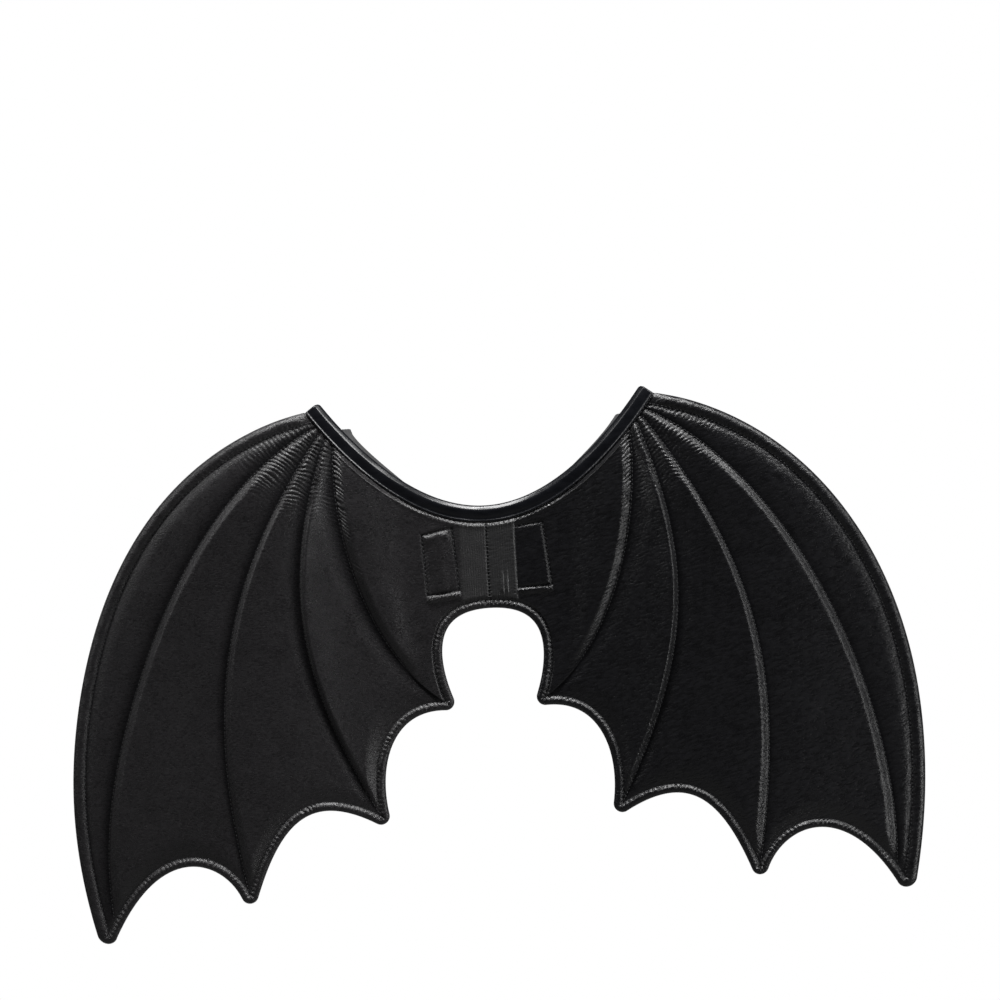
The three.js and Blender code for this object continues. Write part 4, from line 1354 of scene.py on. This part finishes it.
def quilted_cloth_material(side):
    cloth = CLOTH[side]
    material, g, shader = new_material(f"quilted black cloth, {side}")
    weave = place_group(g, crepe, Ripple_Scale=cloth["ripple_scale"], Grain_Scale=1700.0,
                        Slant=cloth["slant"], Ripple=cloth["ripple"], Grain=cloth["grain"])
    strip = g.mark("strip")
    sunk = g.mark("sunk")
    colour = g.mix(weave.outputs["Mottle"], cloth["dark"], cloth["light"])
    # painted shade: a darker colour in the grooves and seams
    colour = g.mix(g.maths("MULTIPLY", sunk, PAINTED_SHADE_STRENGTH), colour, PAINTED_SHADE_COLOUR)
    colour = g.mix(g.maths("MULTIPLY", strip, STRIP_PALENESS), colour, STRIP_COLOUR)
    g.join(colour, shader.inputs["Base Color"])
    rough = g.maths("MULTIPLY", weave.outputs["Mottle"], MOTTLE_ROUGHNESS)
    g.join(g.maths("ADD", LEAST_ROUGHNESS, rough), shader.inputs["Roughness"])
    # painted shade: a weaker reflection in the grooves and seams
    bare = g.maths("SUBTRACT", 1.0, g.maths("MULTIPLY", sunk, PAINTED_SHADE_DULLING))
    g.join(g.maths("MULTIPLY", bare, cloth["specular"]), shader.inputs["Specular IOR Level"])
    shader.inputs["Sheen Weight"].default_value = 0.05
    shader.inputs["Sheen Roughness"].default_value = 0.45
    bumped(g, shader, weave.outputs["Height"], 0.0005)
    return material


def satin_tape_material():
    material, g, shader = new_material("black satin tape")
    weave = place_group(g, crepe, Ripple_Scale=300.0, Grain_Scale=1800.0, Ripple=0.1, Grain=0.5)
    colour = g.mix(weave.outputs["Mottle"], (0.003, 0.0034, 0.0045, 1), (0.007, 0.0075, 0.0095, 1))
    g.join(colour, shader.inputs["Base Color"])
    rough = g.maths("ADD", 0.2, g.maths("MULTIPLY", weave.outputs["Mottle"], 0.08))
    g.join(rough, shader.inputs["Roughness"])
    shader.inputs["Specular IOR Level"].default_value = 0.3
    shader.inputs["Sheen Weight"].default_value = 0.1
    shader.inputs["Sheen Roughness"].default_value = 0.3
    bumped(g, shader, weave.outputs["Height"], 0.00006)
    return material


def elastic_material():
    material, g, shader = new_material("black ribbed elastic")
    weave = place_group(g, ribbed, Across=g.mark("across"), Along=g.mark("along"),
                        Rib_Pitch=2.0, Thread_Pitch=0.9)
    # painted shade: the hollows between the ribs and threads are darker than their crowns
    colour = g.mix(weave.outputs["Height"], (0.007, 0.007, 0.008, 1), (0.02, 0.02, 0.021, 1))
    g.join(colour, shader.inputs["Base Color"])
    shader.inputs["Roughness"].default_value = 0.7
    shader.inputs["Sheen Weight"].default_value = 0.1
    bumped(g, shader, weave.outputs["Height"], 0.0002)
    return material


def thread_material():
    material, g, shader = new_material("black sewing thread")
    grain = place_group(g, crepe, Ripple_Scale=1800.0, Grain_Scale=3000.0, Ripple=0.6, Grain=0.4)
    colour = g.mix(grain.outputs["Mottle"], (0.005, 0.005, 0.006, 1), (0.016, 0.016, 0.018, 1))
    g.join(colour, shader.inputs["Base Color"])
    shader.inputs["Roughness"].default_value = 0.5
    bumped(g, shader, grain.outputs["Height"], 0.00008)
    return material


def finish_with(material, *things):
    for thing in things:
        thing.data.materials.clear()
        thing.data.materials.append(material)


finish_with(quilted_cloth_material("left"), left_cloth)
finish_with(quilted_cloth_material("right"), right_cloth)
finish_with(satin_tape_material(), tape)
finish_with(elastic_material(), *loops)
finish_with(thread_material(), *threads)


# Floor, backdrop light and lamps

FLOOR_Z = -640.0
FLOOR_RADIUS = 2600.0
FADE_FROM = 900.0
LAMPS = [
    # name, place, place that it faces, width and height, power
    ("top", (-100, -480, 1900), (0, 0, 0), (1200, 320), 60),
    ("left", (-1500, -750, 900), (-150, 0, 0), (600, 900), 7),
    ("right", (1850, -620, 650), (100, 0, 0), (450, 1100), 8.5),
    ("low right", (1650, -800, -430), (110, 0, -80), (450, 380), 7),
    ("upper right", (1200, -680, 1430), (0, 0, 0), (450, 450), 21),
    ("upper left", (-1300, -560, 1300), (0, 0, 0), (450, 450), 3),
]


def pale_floor():
    """A plain round floor that fades into the ground tone."""
    bpy.ops.mesh.primitive_circle_add(vertices=96, radius=FLOOR_RADIUS * MM, fill_type="NGON",
                                      location=(0, 0, FLOOR_Z * MM))
    floor = bpy.context.object
    floor.name = "floor"
    material = bpy.data.materials.new("pale floor")
    material.use_nodes = True
    material.node_tree.nodes.clear()
    g = Graph(material.node_tree)
    shown = g.add("ShaderNodeBsdfDiffuse", {"Color": (0.9, 0.9, 0.9, 1)})
    glow = g.add("ShaderNodeEmission", {"Strength": 0.45})
    both = g.add("ShaderNodeAddShader")
    g.join(shown.outputs[0], both.inputs[0])
    g.join(glow.outputs[0], both.inputs[1])
    dull = g.add("ShaderNodeBsdfDiffuse", {"Color": (0.2, 0.2, 0.2, 1)})
    path = g.add("ShaderNodeLightPath")
    matte = g.mix_shaders(path.outputs["Is Camera Ray"], dull.outputs[0], both.outputs[0])
    clear = g.add("ShaderNodeBsdfTransparent")
    length = g.add("ShaderNodeVectorMath", operation="LENGTH")
    g.join(g.add("ShaderNodeTexCoord").outputs["Object"], length.inputs[0])
    ends = {"From Min": FADE_FROM * MM, "From Max": FLOOR_RADIUS * MM}
    fade = g.add("ShaderNodeMapRange", ends, interpolation_type="SMOOTHSTEP")
    g.join(length.outputs["Value"], fade.inputs["Value"])
    blend = g.mix_shaders(fade.outputs["Result"], matte, clear.outputs[0])
    out = g.add("ShaderNodeOutputMaterial")
    g.join(blend, out.inputs["Surface"])
    floor.data.materials.append(material)


def soft_world():
    """White to the eye, and a dimmer even light on the cloth."""
    world = bpy.data.worlds.new("soft studio")
    bpy.context.scene.world = world
    world.use_nodes = True
    world.node_tree.nodes.clear()
    g = Graph(world.node_tree)
    seen = g.add("ShaderNodeBackground", {"Color": (1, 1, 1, 1), "Strength": 1.0})
    lit = g.add("ShaderNodeBackground", {"Color": (0.98, 0.96, 1, 1), "Strength": 0.035})
    path = g.add("ShaderNodeLightPath")
    blend = g.mix_shaders(path.outputs["Is Camera Ray"], lit.outputs[0], seen.outputs[0])
    out = g.add("ShaderNodeOutputWorld")
    g.join(blend, out.inputs["Surface"])


def softbox(name, place, aim_at, size, power):
    lamp = bpy.data.lights.new(name, "AREA")
    lamp.shape = "RECTANGLE"
    lamp.size, lamp.size_y = size[0] * MM, size[1] * MM
    lamp.energy = power
    thing = bpy.data.objects.new(name, lamp)
    bpy.context.scene.collection.objects.link(thing)
    place, aim_at = Vector(place) * MM, Vector(aim_at) * MM
    thing.location = place
    thing.rotation_euler = (aim_at - place).to_track_quat("-Z", "Y").to_euler()


pale_floor()
soft_world()
for lamp_row in LAMPS:
    softbox(*lamp_row)


def set_camera():
    """The camera stands at the photograph's angle and looks straight at the middle of the frame."""
    roll = math.radians(PHOTO_ROLL)
    turn = math.radians(PHOTO_TURN)
    level_right = Vector((math.cos(turn), math.sin(turn), 0))
    ahead = Vector((-math.sin(turn), math.cos(turn), 0))
    camera_right = level_right * math.cos(roll) - Vector((0, 0, 1)) * math.sin(roll)
    camera_up = level_right * math.sin(roll) + Vector((0, 0, 1)) * math.cos(roll)
    aim = camera_right * (PHOTO_SIZE / 2 - PHOTO_ORIGIN[0]) * PIXEL * MM
    aim = aim + camera_up * (PHOTO_ORIGIN[1] - PHOTO_SIZE / 2) * PIXEL * MM
    camera_data = bpy.data.cameras.new("camera")
    camera = bpy.data.objects.new("camera", camera_data)
    bpy.context.scene.collection.objects.link(camera)
    camera_data.sensor_width = SENSOR
    camera_data.lens = SENSOR * CAMERA_DISTANCE / (PHOTO_SIZE * PIXEL)
    axes = Matrix((camera_right, camera_up, -ahead)).transposed().to_4x4()
    camera.matrix_world = Matrix.Translation(aim - ahead * CAMERA_DISTANCE * MM) @ axes
    bpy.context.scene.camera = camera


set_camera()
bpy.context.scene.view_settings.view_transform = "Standard"
